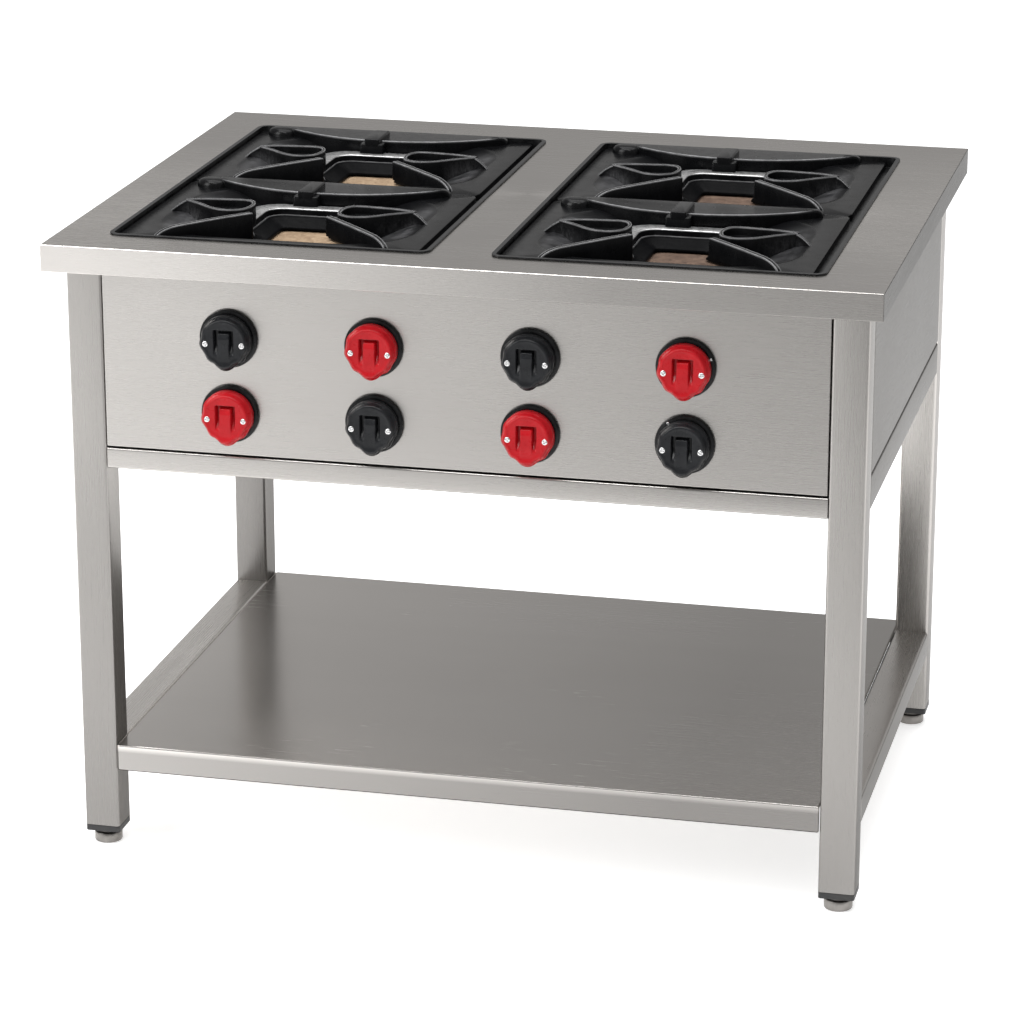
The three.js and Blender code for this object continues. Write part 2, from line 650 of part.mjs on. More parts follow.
function bezel() {
  const sides = 28;
  const plate = upright(BEZEL_RADIUS, GAP, BEZEL_HEIGHT - 2, sides)
    .add(upright(BEZEL_RADIUS - 2, GAP, BEZEL_HEIGHT, sides));
  return plate.subtract(upright(BEZEL_BORE, -1, BEZEL_HEIGHT + 1, 12));
}

// brass block with two cocks: spindles to the front, jets to the back
function twinValve(x) {
  const y0 = VALVE_FRONT_Y;
  const y1 = y0 + VALVE_DEPTH;
  let block = box(
    [x - VALVE_WIDTH / 2, y0, VALVE_LOW_Z], [x + VALVE_WIDTH / 2, y1, VALVE_TOP_Z]);
  for (const z of KNOB_Z) {
    block = block.add(alongY(VALVE_BOSS_RADIUS, x, z, y0 - VALVE_BOSS_REACH, y0 + 2));
    block = block.add(alongY(SPINDLE_RADIUS, x, z, FRONT_Y - SPINDLE_REACH, y0));
  }
  for (const z of TUBE_HEIGHTS) {
    block = block.add(alongY(JET_RADIUS, x, z, y1 - 1, y1 + JET_REACH, 10));
  }
  return block;
}

// supply pipe: behind the valves, round an elbow and out through the back panel
function manifoldPipe() {
  const corner = [MANIFOLD_SIDE_X, MANIFOLD_Y, MANIFOLD_Z];
  const elbow = new THREE.SphereGeometry(MANIFOLD_RADIUS + 4, 12, 8);
  elbow.translate(...corner);
  const across = rod([MANIFOLD_LEFT_X, MANIFOLD_Y, MANIFOLD_Z], corner, MANIFOLD_RADIUS, 12);
  const back = alongY(MANIFOLD_RADIUS, MANIFOLD_SIDE_X, MANIFOLD_Z, MANIFOLD_Y, MANIFOLD_END_Y);
  const union = alongY(MANIFOLD_RADIUS + UNION_LIP, MANIFOLD_SIDE_X, MANIFOLD_Z,
    MANIFOLD_END_Y - UNION_LENGTH, MANIFOLD_END_Y, 6);
  const mouth = alongY(MANIFOLD_RADIUS - TUBE_WALL, MANIFOLD_SIDE_X, MANIFOLD_Z,
    MANIFOLD_END_Y - 2 * UNION_LENGTH, MANIFOLD_END_Y + 1);
  return across.add(toSolid(elbow)).add(back).add(union).subtract(mouth);
}

function buildControls() {
  const forward = [Math.PI / 2, 0, 0]; // a knob's own +Z points at the cook
  KNOB_X.forEach((x, column) => {
    KNOB_Z.forEach((z, row) => {
      const name = `${["upper", "lower"][row]}_${column + 1}`;
      const red = (column + row) % 2 === 1;
      add(`knob_bezel_${name}`, bezel(), ENAMEL, [x, FRONT_Y, z], forward);
      add(`knob_${name}`, knob(), red ? KNOB_RED : KNOB_BLACK, [x, FRONT_Y, z], forward);
    });
    add(`twin_valve_${column + 1}`, twinValve(x), BRASS);
  });
  add("gas_manifold", manifoldPipe(), PIPE_STEEL);
}

// ----------------------------------------------------------------- assembly
add("worktop", worktop(), STEEL);
buildStand();
add("bottom_shelf", bottomShelf(), STEEL);
add("drip_pan", dripPan(), STEEL_DARK);
buildPanels();
buildCooktop();
buildControls();

export default gasRange;
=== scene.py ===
import json
import math

import bmesh
import bpy
import numpy as np
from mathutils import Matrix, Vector


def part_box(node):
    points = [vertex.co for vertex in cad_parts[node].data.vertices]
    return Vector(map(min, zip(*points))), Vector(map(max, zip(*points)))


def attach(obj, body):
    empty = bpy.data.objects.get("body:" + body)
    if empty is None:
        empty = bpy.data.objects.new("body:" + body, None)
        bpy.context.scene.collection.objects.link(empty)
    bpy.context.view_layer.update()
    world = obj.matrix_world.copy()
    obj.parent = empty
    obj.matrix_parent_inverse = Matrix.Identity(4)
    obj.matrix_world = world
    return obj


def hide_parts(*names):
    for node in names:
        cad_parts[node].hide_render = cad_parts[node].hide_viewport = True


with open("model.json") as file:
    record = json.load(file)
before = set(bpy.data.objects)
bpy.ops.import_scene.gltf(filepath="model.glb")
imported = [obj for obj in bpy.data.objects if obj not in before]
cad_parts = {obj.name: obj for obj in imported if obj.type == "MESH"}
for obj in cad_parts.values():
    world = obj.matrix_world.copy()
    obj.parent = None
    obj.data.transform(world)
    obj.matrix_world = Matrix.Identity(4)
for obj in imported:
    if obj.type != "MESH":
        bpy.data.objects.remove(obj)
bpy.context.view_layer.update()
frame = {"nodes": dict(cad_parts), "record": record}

MM = 0.001
CORNERS = [f"{end}_{side}" for side in ("left", "right") for end in ("front", "rear")]
SLOT_OF = {row["node"]: row["material_slot"] for row in frame["record"]["subparts"]}
BODY_OF = {node: body for body, nodes in frame["record"]["behaviour"]["bodies"].items()
           for node in nodes}


# ------------------------------------------------------------------ small tools
def smooth(low, high, value):
    """0 below low, 1 above high, and a soft step between them."""
    t = np.clip((value - low) / (high - low), 0.0, 1.0)
    return t * t * (3 - 2 * t)


def outward_mesh(name, points, faces):
    """A mesh whose closed parts all face out."""
    mesh = bpy.data.meshes.new(name)
    mesh.from_pydata([tuple(p) for p in points], [], [tuple(f) for f in faces])
    mesh.validate()
    sheet = bmesh.new()
    sheet.from_mesh(mesh)
    bmesh.ops.recalc_face_normals(sheet, faces=sheet.faces)
    sheet.to_mesh(mesh)
    sheet.free()
    return mesh


def make_mesh(name, points, faces, finish, soft=True):
    mesh = outward_mesh(name, points, faces)
    mesh.polygons.foreach_set("use_smooth", [soft] * len(mesh.polygons))
    mesh.update()
    piece = bpy.data.objects.new(name, mesh)
    piece.data.materials.append(finish)
    bpy.context.scene.collection.objects.link(piece)
    return piece


def stand_for(piece, *nodes):
    """The piece takes the place and the body of these CAD nodes."""
    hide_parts(*nodes)
    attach(piece, BODY_OF[nodes[0]])
    return piece


def sharp_edges(piece, degrees=35):
    piece.data.set_sharp_from_angle(angle=math.radians(degrees))


def grid_faces(rows, columns, closed, first=0):
    """Quads between rows of points; a closed row joins its last point to its first."""
    faces = []
    for row in range(rows - 1):
        for column in range(columns if closed else columns - 1):
            right = (column + 1) % columns
            a = first + row * columns + column
            b = first + row * columns + right
            faces.append((a, b, b + columns, a + columns))
    return faces


def lathe_points(profile, centre, steps, axis="Z"):
    """Rings of points round an upright (Z) or a forward-facing (-Y) axis."""
    points = []
    for radius, height in profile:
        for i in range(steps):
            angle = 2 * math.pi * i / steps
            across, up = radius * math.cos(angle), radius * math.sin(angle)
            if axis == "Z":
                offset = (across, up, height)
            else:
                offset = (across, -height, up)
            points.append(Vector(centre) + Vector(offset))
    return points


def lathe(name, profile, centre, finish, steps=48, axis="Z"):
    """A turned piece; its profile runs (radius, height) from bottom to top."""
    points = lathe_points(profile, centre, steps, axis)
    rows = len(profile)
    faces = grid_faces(rows, steps, closed=True)
    faces.append(tuple(reversed(range(steps))))
    faces.append(tuple(range((rows - 1) * steps, rows * steps)))
    piece = make_mesh(name, points, faces, finish)
    sharp_edges(piece)
    return piece


# -------------------------------------------------------------------- materials
class Nodes:
    """Builds one procedural material."""

    def __init__(self, name):
        self.material = bpy.data.materials.new(name)
        self.material.use_nodes = True
        self.tree = self.material.node_tree
        self.shader = self.tree.nodes["Principled BSDF"]
        self.place = self.tree.nodes.new("ShaderNodeTexCoord").outputs["Object"]

    def node(self, kind, **inputs):
        made = self.tree.nodes.new(kind)
        for key, value in inputs.items():
            socket = made.inputs[key.replace("_", " ")]
            if isinstance(value, bpy.types.NodeSocket):
                self.tree.links.new(value, socket)
            else:
                socket.default_value = value
        return made

    def stretched(self, scale, turn=(0, 0, 0)):
        return self.node("ShaderNodeMapping", Vector=self.place, Scale=scale,
                         Rotation=turn).outputs["Vector"]

    def noise(self, vector, scale, detail=4.0, roughness=0.55, distortion=0.0):
        return self.node("ShaderNodeTexNoise", Vector=vector, Scale=scale, Detail=detail,
                         Roughness=roughness, Distortion=distortion).outputs["Fac"]

    def ramp(self, value, low, high):
        """Maps a factor's middle range to two numbers."""
        made = self.node("ShaderNodeMapRange", Value=value)
        made.inputs["From Min"].default_value = 0.3
        made.inputs["From Max"].default_value = 0.7
        made.inputs["To Min"].default_value = low
        made.inputs["To Max"].default_value = high
        return made.outputs["Result"]

    def between(self, value, given, wanted):
        """Maps one range of a value to another, and holds the ends."""
        made = self.node("ShaderNodeMapRange", Value=value)
        for socket, number in zip(list(made.inputs)[1:5], given + wanted):
            socket.default_value = number
        return made.outputs["Result"]

    def colours(self, value, stops):
        made = self.node("ShaderNodeValToRGB", Fac=value)
        elements = made.color_ramp.elements
        while len(elements) < len(stops):
            elements.new(0.5)
        for element, (position, colour) in zip(elements, stops):
            element.position = position
            element.color = (*colour, 1)
        return made.outputs["Color"]

    def mix(self, factor, first, second):
        made = self.tree.nodes.new("ShaderNodeMix")
        made.data_type = "RGBA"
        for socket, value in ((made.inputs[0], factor), (made.inputs[6], first),
                              (made.inputs[7], second)):
            if isinstance(value, bpy.types.NodeSocket):
                self.tree.links.new(value, socket)
            elif isinstance(value, tuple):
                socket.default_value = (*value, 1)
            else:
                socket.default_value = value
        return made.outputs[2]

    def scaled(self, colour, factor):
        made = self.tree.nodes.new("ShaderNodeVectorMath")
        made.operation = "SCALE"
        self.tree.links.new(colour, made.inputs[0])
        self.tree.links.new(factor, made.inputs["Scale"])
        return made.outputs[0]

    def attribute(self, name):
        made = self.tree.nodes.new("ShaderNodeAttribute")
        made.attribute_name = name
        return made.outputs["Fac"]

    def math(self, operation, first, second):
        made = self.tree.nodes.new("ShaderNodeMath")
        made.operation = operation
        for socket, value in zip(made.inputs, (first, second)):
            if isinstance(value, bpy.types.NodeSocket):
                self.tree.links.new(value, socket)
            else:
                socket.default_value = value
        return made.outputs[0]

    def bump(self, height, strength, distance, normal=None):
        made = self.node("ShaderNodeBump", Height=height, Strength=strength, Distance=distance)
        if normal is not None:
            self.tree.links.new(normal, made.inputs["Normal"])
        return made.outputs["Normal"]

    def set(self, **values):
        for key, value in values.items():
            socket = self.shader.inputs[key.replace("_", " ")]
            if isinstance(value, bpy.types.NodeSocket):
                self.tree.links.new(value, socket)
            elif isinstance(value, tuple) and len(value) == 3:
                socket.default_value = (*value, 1)
            else:
                socket.default_value = value
        return self.material


GRAIN = {"X": (1.6, 130, 130), "Y": (130, 1.6, 130), "Z": (130, 130, 1.6)}


def brushed_steel(name, grain, tone=1.0, rough=0.28, edge=0.45, painted_light_gradients=()):
    """Satin stainless: fine grain along one axis, faint smears and a slightly uneven sheen.
    A fade is a painted light and shade gradient: (axis, start, end, tone at start, tone at end), in metres;
    tone scales the whole colour, and most copies use it as painted light and shade; edge dims grazing views."""
    n = Nodes(name)
    fine = n.noise(n.stretched(GRAIN[grain]), 9.0, detail=3.0, roughness=0.7)
    broad = n.noise(n.stretched(tuple(0.3 + v * 0.02 for v in GRAIN[grain])), 4.0, detail=3.0)
    smear = n.noise(n.place, 3.0, detail=4.0, roughness=0.5, distortion=0.4)
    low = tuple(tone * c for c in (0.602, 0.578, 0.553))
    high = tuple(tone * c for c in (0.642, 0.618, 0.593))
    colour = n.colours(n.math("ADD", n.math("MULTIPLY", fine, 0.6), n.math("MULTIPLY", broad, 0.4)),
                       [(0.32, low), (0.68, high)])
    # painted light and shade: the colour is scaled along each gradient's axis
    for axis, start, end, first, last in painted_light_gradients:
        along = n.node("ShaderNodeSeparateXYZ", Vector=n.place).outputs[axis]
        colour = n.scaled(colour, n.between(along, (start, end), (first, last)))
    sheen = n.math("ADD", n.ramp(fine, rough - 0.03, rough + 0.03), n.ramp(smear, -0.02, 0.02))
    return n.set(Base_Color=colour, Metallic=1.0, Roughness=sheen, Anisotropic=0.35,
                 Specular_Tint=(edge, edge, edge), Normal=n.bump(fine, 0.025, 0.0002))


def turned_steel():
    n = Nodes("turned_steel")
    rings = n.noise(n.stretched((20, 20, 900)), 1.0, detail=2.0)
    wear = n.noise(n.place, 40.0, detail=4.0)
    colour = n.colours(wear, [(0.3, (0.19, 0.18, 0.168)), (0.7, (0.3, 0.285, 0.27))])
    return n.set(Base_Color=colour, Metallic=1.0, Roughness=n.ramp(wear, 0.26, 0.42),
                 Normal=n.bump(rings, 0.15, 0.0003))


def cast_iron():
    """Black gloss on a rough casting, with three marks made on its mesh: hatched grey scuffs
    ("wear"), light grey lines along rib shoulders and collar edges ("edge"), which are painted highlights
    that also stand for edge wear, and matt burnt-on black ("soot")."""
    n = Nodes("cast_iron_black")
    pits = n.noise(n.place, 420.0, detail=3.0, roughness=0.6)
    skin = n.noise(n.place, 70.0, detail=5.0, roughness=0.6)
    patch = n.noise(n.place, 22.0, detail=6.0, roughness=0.65, distortion=0.4)
    hatch = n.noise(n.stretched((14, 60, 14)), 6.0, detail=6.0, roughness=0.75, distortion=1.2)
    scuff = n.math("MULTIPLY", n.ramp(patch, 0.0, 1.3), n.ramp(hatch, 0.0, 1.3))
    worn = n.math("MULTIPLY", scuff, n.attribute("wear"))
    # painted highlight: the "edge" lines turn the colour light grey, also standing for edge wear
    highlight_and_wear = n.math("MULTIPLY", n.attribute("edge"), n.ramp(skin, 0.55, 1.1))
    faint = n.math("MULTIPLY", scuff, 0.05)
    scuffed = n.mix(n.math("ADD", worn, faint), (0.002, 0.0021, 0.0025), (0.085, 0.085, 0.088))
    colour = n.mix(highlight_and_wear, scuffed, (0.24, 0.24, 0.245))
    rough = n.math("ADD", n.ramp(skin, 0.2, 0.28), n.math("MULTIPLY", n.attribute("soot"), 0.12))
    shine = n.between(n.attribute("soot"), (0.0, 1.0), (0.15, 0.03))
    soft = n.bump(skin, 0.12, 0.0008)
    return n.set(Base_Color=colour, Metallic=0.0, Roughness=rough, Specular_IOR_Level=shine,
                 Normal=n.bump(pits, 0.04, 0.0004, soft))


def worn_iron():
    """The collar's top, where flame and brush keep the iron bare and bright."""
    n = Nodes("cast_iron_bare")
    brushed = n.noise(n.stretched((16, 90, 16)), 8.0, detail=4.0, roughness=0.7)
    patch = n.noise(n.place, 45.0, detail=5.0)
    colour = n.colours(n.math("MULTIPLY", brushed, n.ramp(patch, 0.7, 1.4)),
                       [(0.2, (0.14, 0.14, 0.142)), (0.62, (0.62, 0.62, 0.62))])
    return n.set(Base_Color=colour, Metallic=0.85, Roughness=n.ramp(brushed, 0.22, 0.4),
                 Normal=n.bump(brushed, 0.2, 0.0005))


def black_enamel():
    n = Nodes("black_enamel")
    orange_peel = n.noise(n.place, 260.0, detail=2.0)
    scuff = n.noise(n.place, 60.0, detail=6.0, roughness=0.7)
    colour = n.colours(scuff, [(0.45, (0.004, 0.0042, 0.0046)), (0.8, (0.02, 0.0205, 0.0215))])
    return n.set(Base_Color=colour, Roughness=n.ramp(scuff, 0.22, 0.4), Specular_IOR_Level=0.3,
                 Normal=n.bump(orange_peel, 0.1, 0.0004))


def burner_iron(name, light, dark, rust):
    """Burner head burnt to a chalky tan or brown, with darker blotches and rust."""
    n = Nodes(name)
    grainy = n.noise(n.place, 500.0, detail=4.0, roughness=0.7)
    blotch = n.noise(n.place, 70.0, detail=6.0, roughness=0.65, distortion=0.5)
    cracks = n.noise(n.stretched((40, 16, 40)), 5.0, detail=6.0, roughness=0.75, distortion=1.0)
    base = n.colours(blotch, [(0.3, dark), (0.62, light)])
    colour = n.mix(n.ramp(cracks, 0.0, 0.75), base, rust)
    return n.set(Base_Color=colour, Roughness=0.85, Normal=n.bump(
        grainy, 0.5, 0.001, n.bump(blotch, 0.4, 0.002)))


def gloss_plastic(name, colour, darker):
    n = Nodes(name)
    flow = n.noise(n.place, 60.0, detail=3.0)
    haze = n.noise(n.place, 180.0, detail=5.0, roughness=0.7)
    tint = n.colours(flow, [(0.3, darker), (0.7, colour)])
    return n.set(Base_Color=tint, Roughness=n.ramp(haze, 0.24, 0.36), Specular_IOR_Level=0.22,
                 Coat_Weight=0.1, Coat_Roughness=0.1, Normal=n.bump(flow, 0.05, 0.001))


def satin_plastic():
    n = Nodes("black_plastic")
    grain = n.noise(n.place, 700.0, detail=2.0)
    dust = n.noise(n.place, 45.0, detail=5.0)
    colour = n.colours(dust, [(0.35, (0.016, 0.016, 0.017)), (0.75, (0.035, 0.034, 0.033))])
    return n.set(Base_Color=colour, Roughness=n.ramp(dust, 0.42, 0.6),
                 Normal=n.bump(grain, 0.25, 0.0003))


def screw_steel():
    n = Nodes("screw_steel")
    turn = n.noise(n.place, 900.0, detail=2.0)
    return n.set(Base_Color=n.colours(turn, [(0.3, (0.7, 0.7, 0.7)), (0.7, (0.9, 0.9, 0.9))]),
                 Metallic=1.0, Roughness=n.ramp(turn, 0.12, 0.25))


def brass():
    n = Nodes("valve_brass")
    tarnish = n.noise(n.place, 50.0, detail=5.0)
    colour = n.colours(tarnish, [(0.3, (0.32, 0.2, 0.08)), (0.7, (0.62, 0.43, 0.18))])
    return n.set(Base_Color=colour, Metallic=1.0, Roughness=n.ramp(tarnish, 0.28, 0.5))


def painted_pipe():
    n = Nodes("pipe_grey")
    speck = n.noise(n.place, 120.0, detail=5.0)
    colour = n.colours(speck, [(0.3, (0.2, 0.2, 0.2)), (0.7, (0.32, 0.32, 0.31))])
    return n.set(Base_Color=colour, Metallic=0.4, Roughness=n.ramp(speck, 0.4, 0.6),
                 Normal=n.bump(speck, 0.2, 0.0006))


# Front steel painted lighter at the left and darker at the right: painted light and shade.
STEEL = brushed_steel("brushed_steel_front", "X", painted_light_gradients=[("X", -0.5, 0.4, 0.88, 0.72)])
# A lighter copy of the steel for the worktop's top: painted light.
TOP_STEEL = brushed_steel("brushed_steel_lit_top", "X", tone=1.12, edge=0.72, rough=0.26)
# Skirt steel painted lighter at the left and darker at the right: painted light and shade.
SKIRT_STEEL = brushed_steel("brushed_steel_skirt", "X", painted_light_gradients=[("X", -0.5, 0.2, 1.18, 0.66)])
# A dark copy for the worktop's two ends: painted shade.
END_STEEL = brushed_steel("brushed_steel_shaded_end", "Y", tone=0.27)
# Each leg gets its own brightness as painted light and shade, and is darker towards the floor as painted
# shade.
LEG_PAINTED_LIGHT = {"front_left": 0.92, "rear_left": 0.66, "front_right": 1.0, "rear_right": 1.35}
LEG_STEEL = {corner: brushed_steel(f"painted_light_steel_leg_{corner}", "Z", tone=LEG_PAINTED_LIGHT[corner],
                                   painted_light_gradients=[("Z", 0.05, 0.6, 0.4, 0.75)]) for corner in CORNERS}
# A dark copy for the side rails and side panels: painted shade.
SIDE_STEEL = brushed_steel("brushed_steel_shaded_side", "Y", tone=0.41)
# A bright copy for the left shelf rail: painted light.
LEFT_RAIL_STEEL = brushed_steel("brushed_steel_lit_left_rail", "Y", tone=1.35, edge=1.0)
# A dark copy for the right shelf rail: painted shade.
RIGHT_RAIL_STEEL = brushed_steel("brushed_steel_shaded_right_rail", "Y", tone=0.48)
# A lighter copy for the right shelf rail's top faces: painted light.
RAIL_TOP_STEEL = brushed_steel("brushed_steel_lit_rail_top", "Y", tone=1.0, edge=0.9)
# Shelf steel painted lighter at the left and darker at the right, and darker on the lip below its top:
# painted light and shade.
SHELF_STEEL = brushed_steel("brushed_steel_shelf", "X", rough=0.24, edge=0.9, painted_light_gradients=[
    ("X", -0.5, 0.3, 1.26, 0.76), ("Z", 0.138, 0.1475, 0.46, 1.0)])
DULL_STEEL = brushed_steel("dull_steel", "X", tone=0.7, rough=0.42)
TURNED = turned_steel()
IRON = cast_iron()
BARE_IRON = worn_iron()
ENAMEL = black_enamel()
TAN = burner_iron("burner_tan", (0.42, 0.31, 0.2), (0.22, 0.15, 0.09), (0.15, 0.085, 0.045))
RUST = burner_iron("burner_rust", (0.17, 0.11, 0.075), (0.045, 0.026, 0.017), (0.05, 0.023, 0.013))
RED = gloss_plastic("knob_red", (0.5, 0.009, 0.015), (0.42, 0.005, 0.01))
BLACK = gloss_plastic("knob_black", (0.016, 0.017, 0.019), (0.009, 0.0095, 0.011))
PLASTIC = satin_plastic()
SCREW = screw_steel()
BRASS = brass()
PIPE = painted_pipe()


# ------------------------------------------------------ sheet, rails and legs
WELD_GAP = 0.01 * MM
EDGE_ANGLE = 40


def dress(node, finish, edge, segments=2):
    """A CAD part keeps its shape: its edges are broken and it gets its finish."""
    part = frame["nodes"][node]
    part.data.materials.clear()
    part.data.materials.append(finish)
    part.modifiers.new("joined_faces", "WELD").merge_threshold = WELD_GAP
    bevel = part.modifiers.new("broken_edges", "BEVEL")
    bevel.width = edge
    bevel.segments = segments
    bevel.limit_method = "ANGLE"
    bevel.angle_limit = math.radians(EDGE_ANGLE)


def rounded_outline(half_a, half_b, corner, steps=6):
    points = []
    for sign_a, sign_b, start in ((1, 1, 0), (-1, 1, 90), (-1, -1, 180), (1, -1, 270)):
        for i in range(steps + 1):
            angle = math.radians(start + 90 * i / steps)
            points.append((sign_a * (half_a - corner) + corner * math.cos(angle),
                           sign_b * (half_b - corner) + corner * math.sin(angle)))
    return points


def square_tube(node, axis, finish, corner=4 * MM, wall=2 * MM):
    """A rolled square tube that fills the node's box, open at both ends."""
    low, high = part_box(node)
    centre, half = (low + high) / 2, (high - low) / 2
    a, b = [i for i in range(3) if i != axis]
    outer = rounded_outline(half[a], half[b], corner)
    inner = rounded_outline(half[a] - wall, half[b] - wall, corner - wall)
    steps = len(outer)
    chamfer = 0.4 * MM
    shrunk = rounded_outline(half[a] - chamfer, half[b] - chamfer, corner - chamfer)
    rings = [(inner, -half[axis]), (shrunk, -half[axis]), (outer, -half[axis] + chamfer),
             (outer, half[axis] - chamfer), (shrunk, half[axis]), (inner, half[axis])]
    points = []
    for outline, along in rings:
        for pa, pb in outline:
            point = [0.0, 0.0, 0.0]
            point[a], point[b], point[axis] = centre[a] + pa, centre[b] + pb, centre[axis] + along
            points.append(point)
    faces = grid_faces(len(rings), steps, closed=True)
    last = (len(rings) - 1) * steps
    faces += [(last + i, last + (i + 1) % steps, (i + 1) % steps, i) for i in range(steps)]
    if axis == 1:
        faces = [tuple(reversed(face)) for face in faces]
    piece = make_mesh(f"{node}_tube", points, faces, finish)
    sharp_edges(piece)
    return stand_for(piece, node)


def build_stand():
    for corner in CORNERS:
        square_tube(f"leg_{corner}", 2, LEG_STEEL[corner])
        dress(f"leg_cap_{corner}", PLASTIC, 1.2 * MM)
        levelling_foot(corner)
    for side in ("left", "right"):
        # The side rails and panels take the dark copy, the left shelf rail the bright copy and the right one
        # the dark copy with lighter tops: painted light and shade.
        square_tube(f"side_rail_{side}", 1, SIDE_STEEL)
        finish = LEFT_RAIL_STEEL if side == "left" else RIGHT_RAIL_STEEL
        rail = square_tube(f"shelf_rail_{side}", 1, finish)
        if side == "right":
            paint_lit_tops(rail.data, RAIL_TOP_STEEL)
        dress(f"side_panel_{side}", SIDE_STEEL, 1.2 * MM)
    for node in ("front_rail", "rear_rail", "top_rail_front", "top_rail_rear"):
        square_tube(node, 0, STEEL, corner=3 * MM)
    dress("worktop", SKIRT_STEEL, 2.2 * MM, 3)
    worktop_faces()
    dress("bottom_shelf", SHELF_STEEL, 2.0 * MM, 3)
    for side in ("left", "right"):
        shelf_gap_shade(side)
    dress("control_panel", STEEL, 1.2 * MM)
    dress("back_panel", STEEL, 1.2 * MM)
    dress("drip_pan", DULL_STEEL, 1.0 * MM)
    for end in ("front", "rear"):
        dress(f"burner_bar_{end}", DULL_STEEL, 1.0 * MM)


def paint_lit_tops(mesh, finish):
    """The faces that look up get the given lighter copy of the steel: painted light on the tops."""
    mesh.materials.append(finish)
    for face in mesh.polygons:
        if face.normal.z > 0.7:
            face.material_index = len(mesh.materials) - 1


def worktop_faces():
    """The sheet's top gets a lighter copy of the steel as painted light and its two ends a dark copy as
    painted shade; its front and back keep the skirt steel.
    """
    mesh = frame["nodes"]["worktop"].data
    paint_lit_tops(mesh, TOP_STEEL)
    mesh.materials.append(END_STEEL)
    for face in mesh.polygons:
        if abs(face.normal.x) > 0.7:
            face.material_index = 2


def shelf_gap_shade(side):
    """A dark strip put in the gap between the shelf and its side rail: painted shade where the gap falls
    dark.
    """
    shelf_low, shelf_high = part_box("bottom_shelf")
    rail_low, rail_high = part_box(f"shelf_rail_{side}")
    gap = (rail_high.x, shelf_low.x) if side == "left" else (shelf_high.x, rail_low.x)
    margin = 0.1 * MM
    corners = [(x, y, z) for x in (gap[0] + margin, gap[1] - margin)
               for y in (shelf_low.y + 50 * MM, shelf_high.y - 50 * MM)
               for z in (shelf_high.z - 8 * MM, shelf_high.z - 2.5 * MM)]
    faces = [(0, 1, 3, 2), (4, 6, 7, 5), (0, 4, 5, 1), (2, 3, 7, 6), (0, 2, 6, 4), (1, 5, 7, 3)]
    shade_strip = make_mesh(f"shelf_gap_shade_{side}", corners, faces, PLASTIC, soft=False)
    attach(shade_strip, BODY_OF["bottom_shelf"])


def levelling_foot(corner):
    node = f"levelling_foot_{corner}"
    low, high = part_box(node)
    centre = ((low.x + high.x) / 2, (low.y + high.y) / 2, 0)
    radius = (high.x - low.x) / 2
    cap_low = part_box(f"leg_cap_{corner}")[0].z
    neck = cap_low - 1 * MM
    profile = [(radius - 2 * MM, low.z), (radius - 0.6 * MM, low.z + 0.5 * MM),
               (radius, low.z + 1.6 * MM), (radius, neck - 6.5 * MM),
               (radius - 0.6 * MM, neck - 5.4 * MM), (radius - 5 * MM, neck - 4.6 * MM),
               (radius - 5.4 * MM, neck - 4 * MM), (radius - 5.4 * MM, neck),
               (6 * MM, neck), (6 * MM, high.z - 1 * MM), (5 * MM, high.z)]
    stand_for(lathe(f"{node}_turned", profile, centre, TURNED), node)


# ------------------------------------------------------------- iron castings
# Sizes of one pan support in millimetres, from its own centre and its flange's underside.
# A rounded rectangle is its width, depth and corner radius.
PLATE = (406.0, 338.0)
CAST_TOP = 24.0
FLANGE = 8.0
TROUGH = -16.0
CAST_WALL = 6.0
DISH = (346.0, 278.0, 90.0)
COLLAR = (166.0, 166.0, 40.0)
COLLAR_TOP = 3.0
LEDGE = (118.0, 118.0, 24.0)
HOLE_SIDE, HOLE_BACK, HOLE_FRONT = 37.0, 42.0, -62.0
UNDERCUT = [(20, -62), (37, 6), (98, -52), (98, -100), (60, -62)]
UNDERCUT_TOP = -3.0
LEFT_FIN, RIGHT_FIN = 228.0, 316.0  # directions of the two front fingers, in degrees
AROUND = 180  # points in each ring of the plate


def rounded_reach(width, depth, corner, angle):
    """How far a rounded rectangle reaches from its centre, for an array of angles."""
    c, s = np.abs(np.cos(angle)), np.abs(np.sin(angle))
    x, y = width / 2, depth / 2
    flat = np.minimum(x / np.maximum(c, 1e-9), y / np.maximum(s, 1e-9))
    cx, cy = x - corner, y - corner
    along = cx * c + cy * s
    arc = along + np.sqrt(np.maximum(along ** 2 - (cx ** 2 + cy ** 2) + corner ** 2, 0))
    in_corner = (flat * c > cx) & (flat * s > cy)
    return np.where(in_corner, arc, flat)


def hole_reach(angle):
    """The flame hole: as wide to both sides, and longer to the front than to the back."""
    c, s = np.cos(angle), np.sin(angle)
    side = HOLE_SIDE / np.maximum(np.abs(c), 1e-9)
    end = np.where(s > 0, HOLE_BACK, -HOLE_FRONT) / np.maximum(np.abs(s), 1e-9)
    return (side ** -9.0 + end ** -9.0) ** (-1 / 9.0)


def collar_foot(angle):
    return rounded_reach(*COLLAR, angle) + 2.0


def dish_height(x, y):
    """Top of the dish, from the trough round the collar up to the flange."""
    angle = np.arctan2(y, x)
    foot, rim = collar_foot(angle), rounded_reach(*DISH, angle)
    share = np.clip((np.hypot(x, y) - foot) / (rim - foot), 0, 1)
    return TROUGH + (FLANGE - TROUGH) * (0.4 * share + 0.6 * smooth(0, 1, share))


def is_undercut(x, y):
    """True over the part of the flame hole that runs on below the fingers."""
    inside = False
    for (x0, y0), (x1, y1) in zip(UNDERCUT, UNDERCUT[1:] + UNDERCUT[:1]):
        if (y0 > y) != (y1 > y) and x < x0 + (x1 - x0) * (y - y0) / (y1 - y0):
            inside = not inside
    return inside


def foot_height(x, y):
    """Where a finger's wall ends: inside the dish, or clear above the flame hole."""
    if is_undercut(x, y):
        return UNDERCUT_TOP
    return float(dish_height(np.array(x), np.array(y))) - 3.0


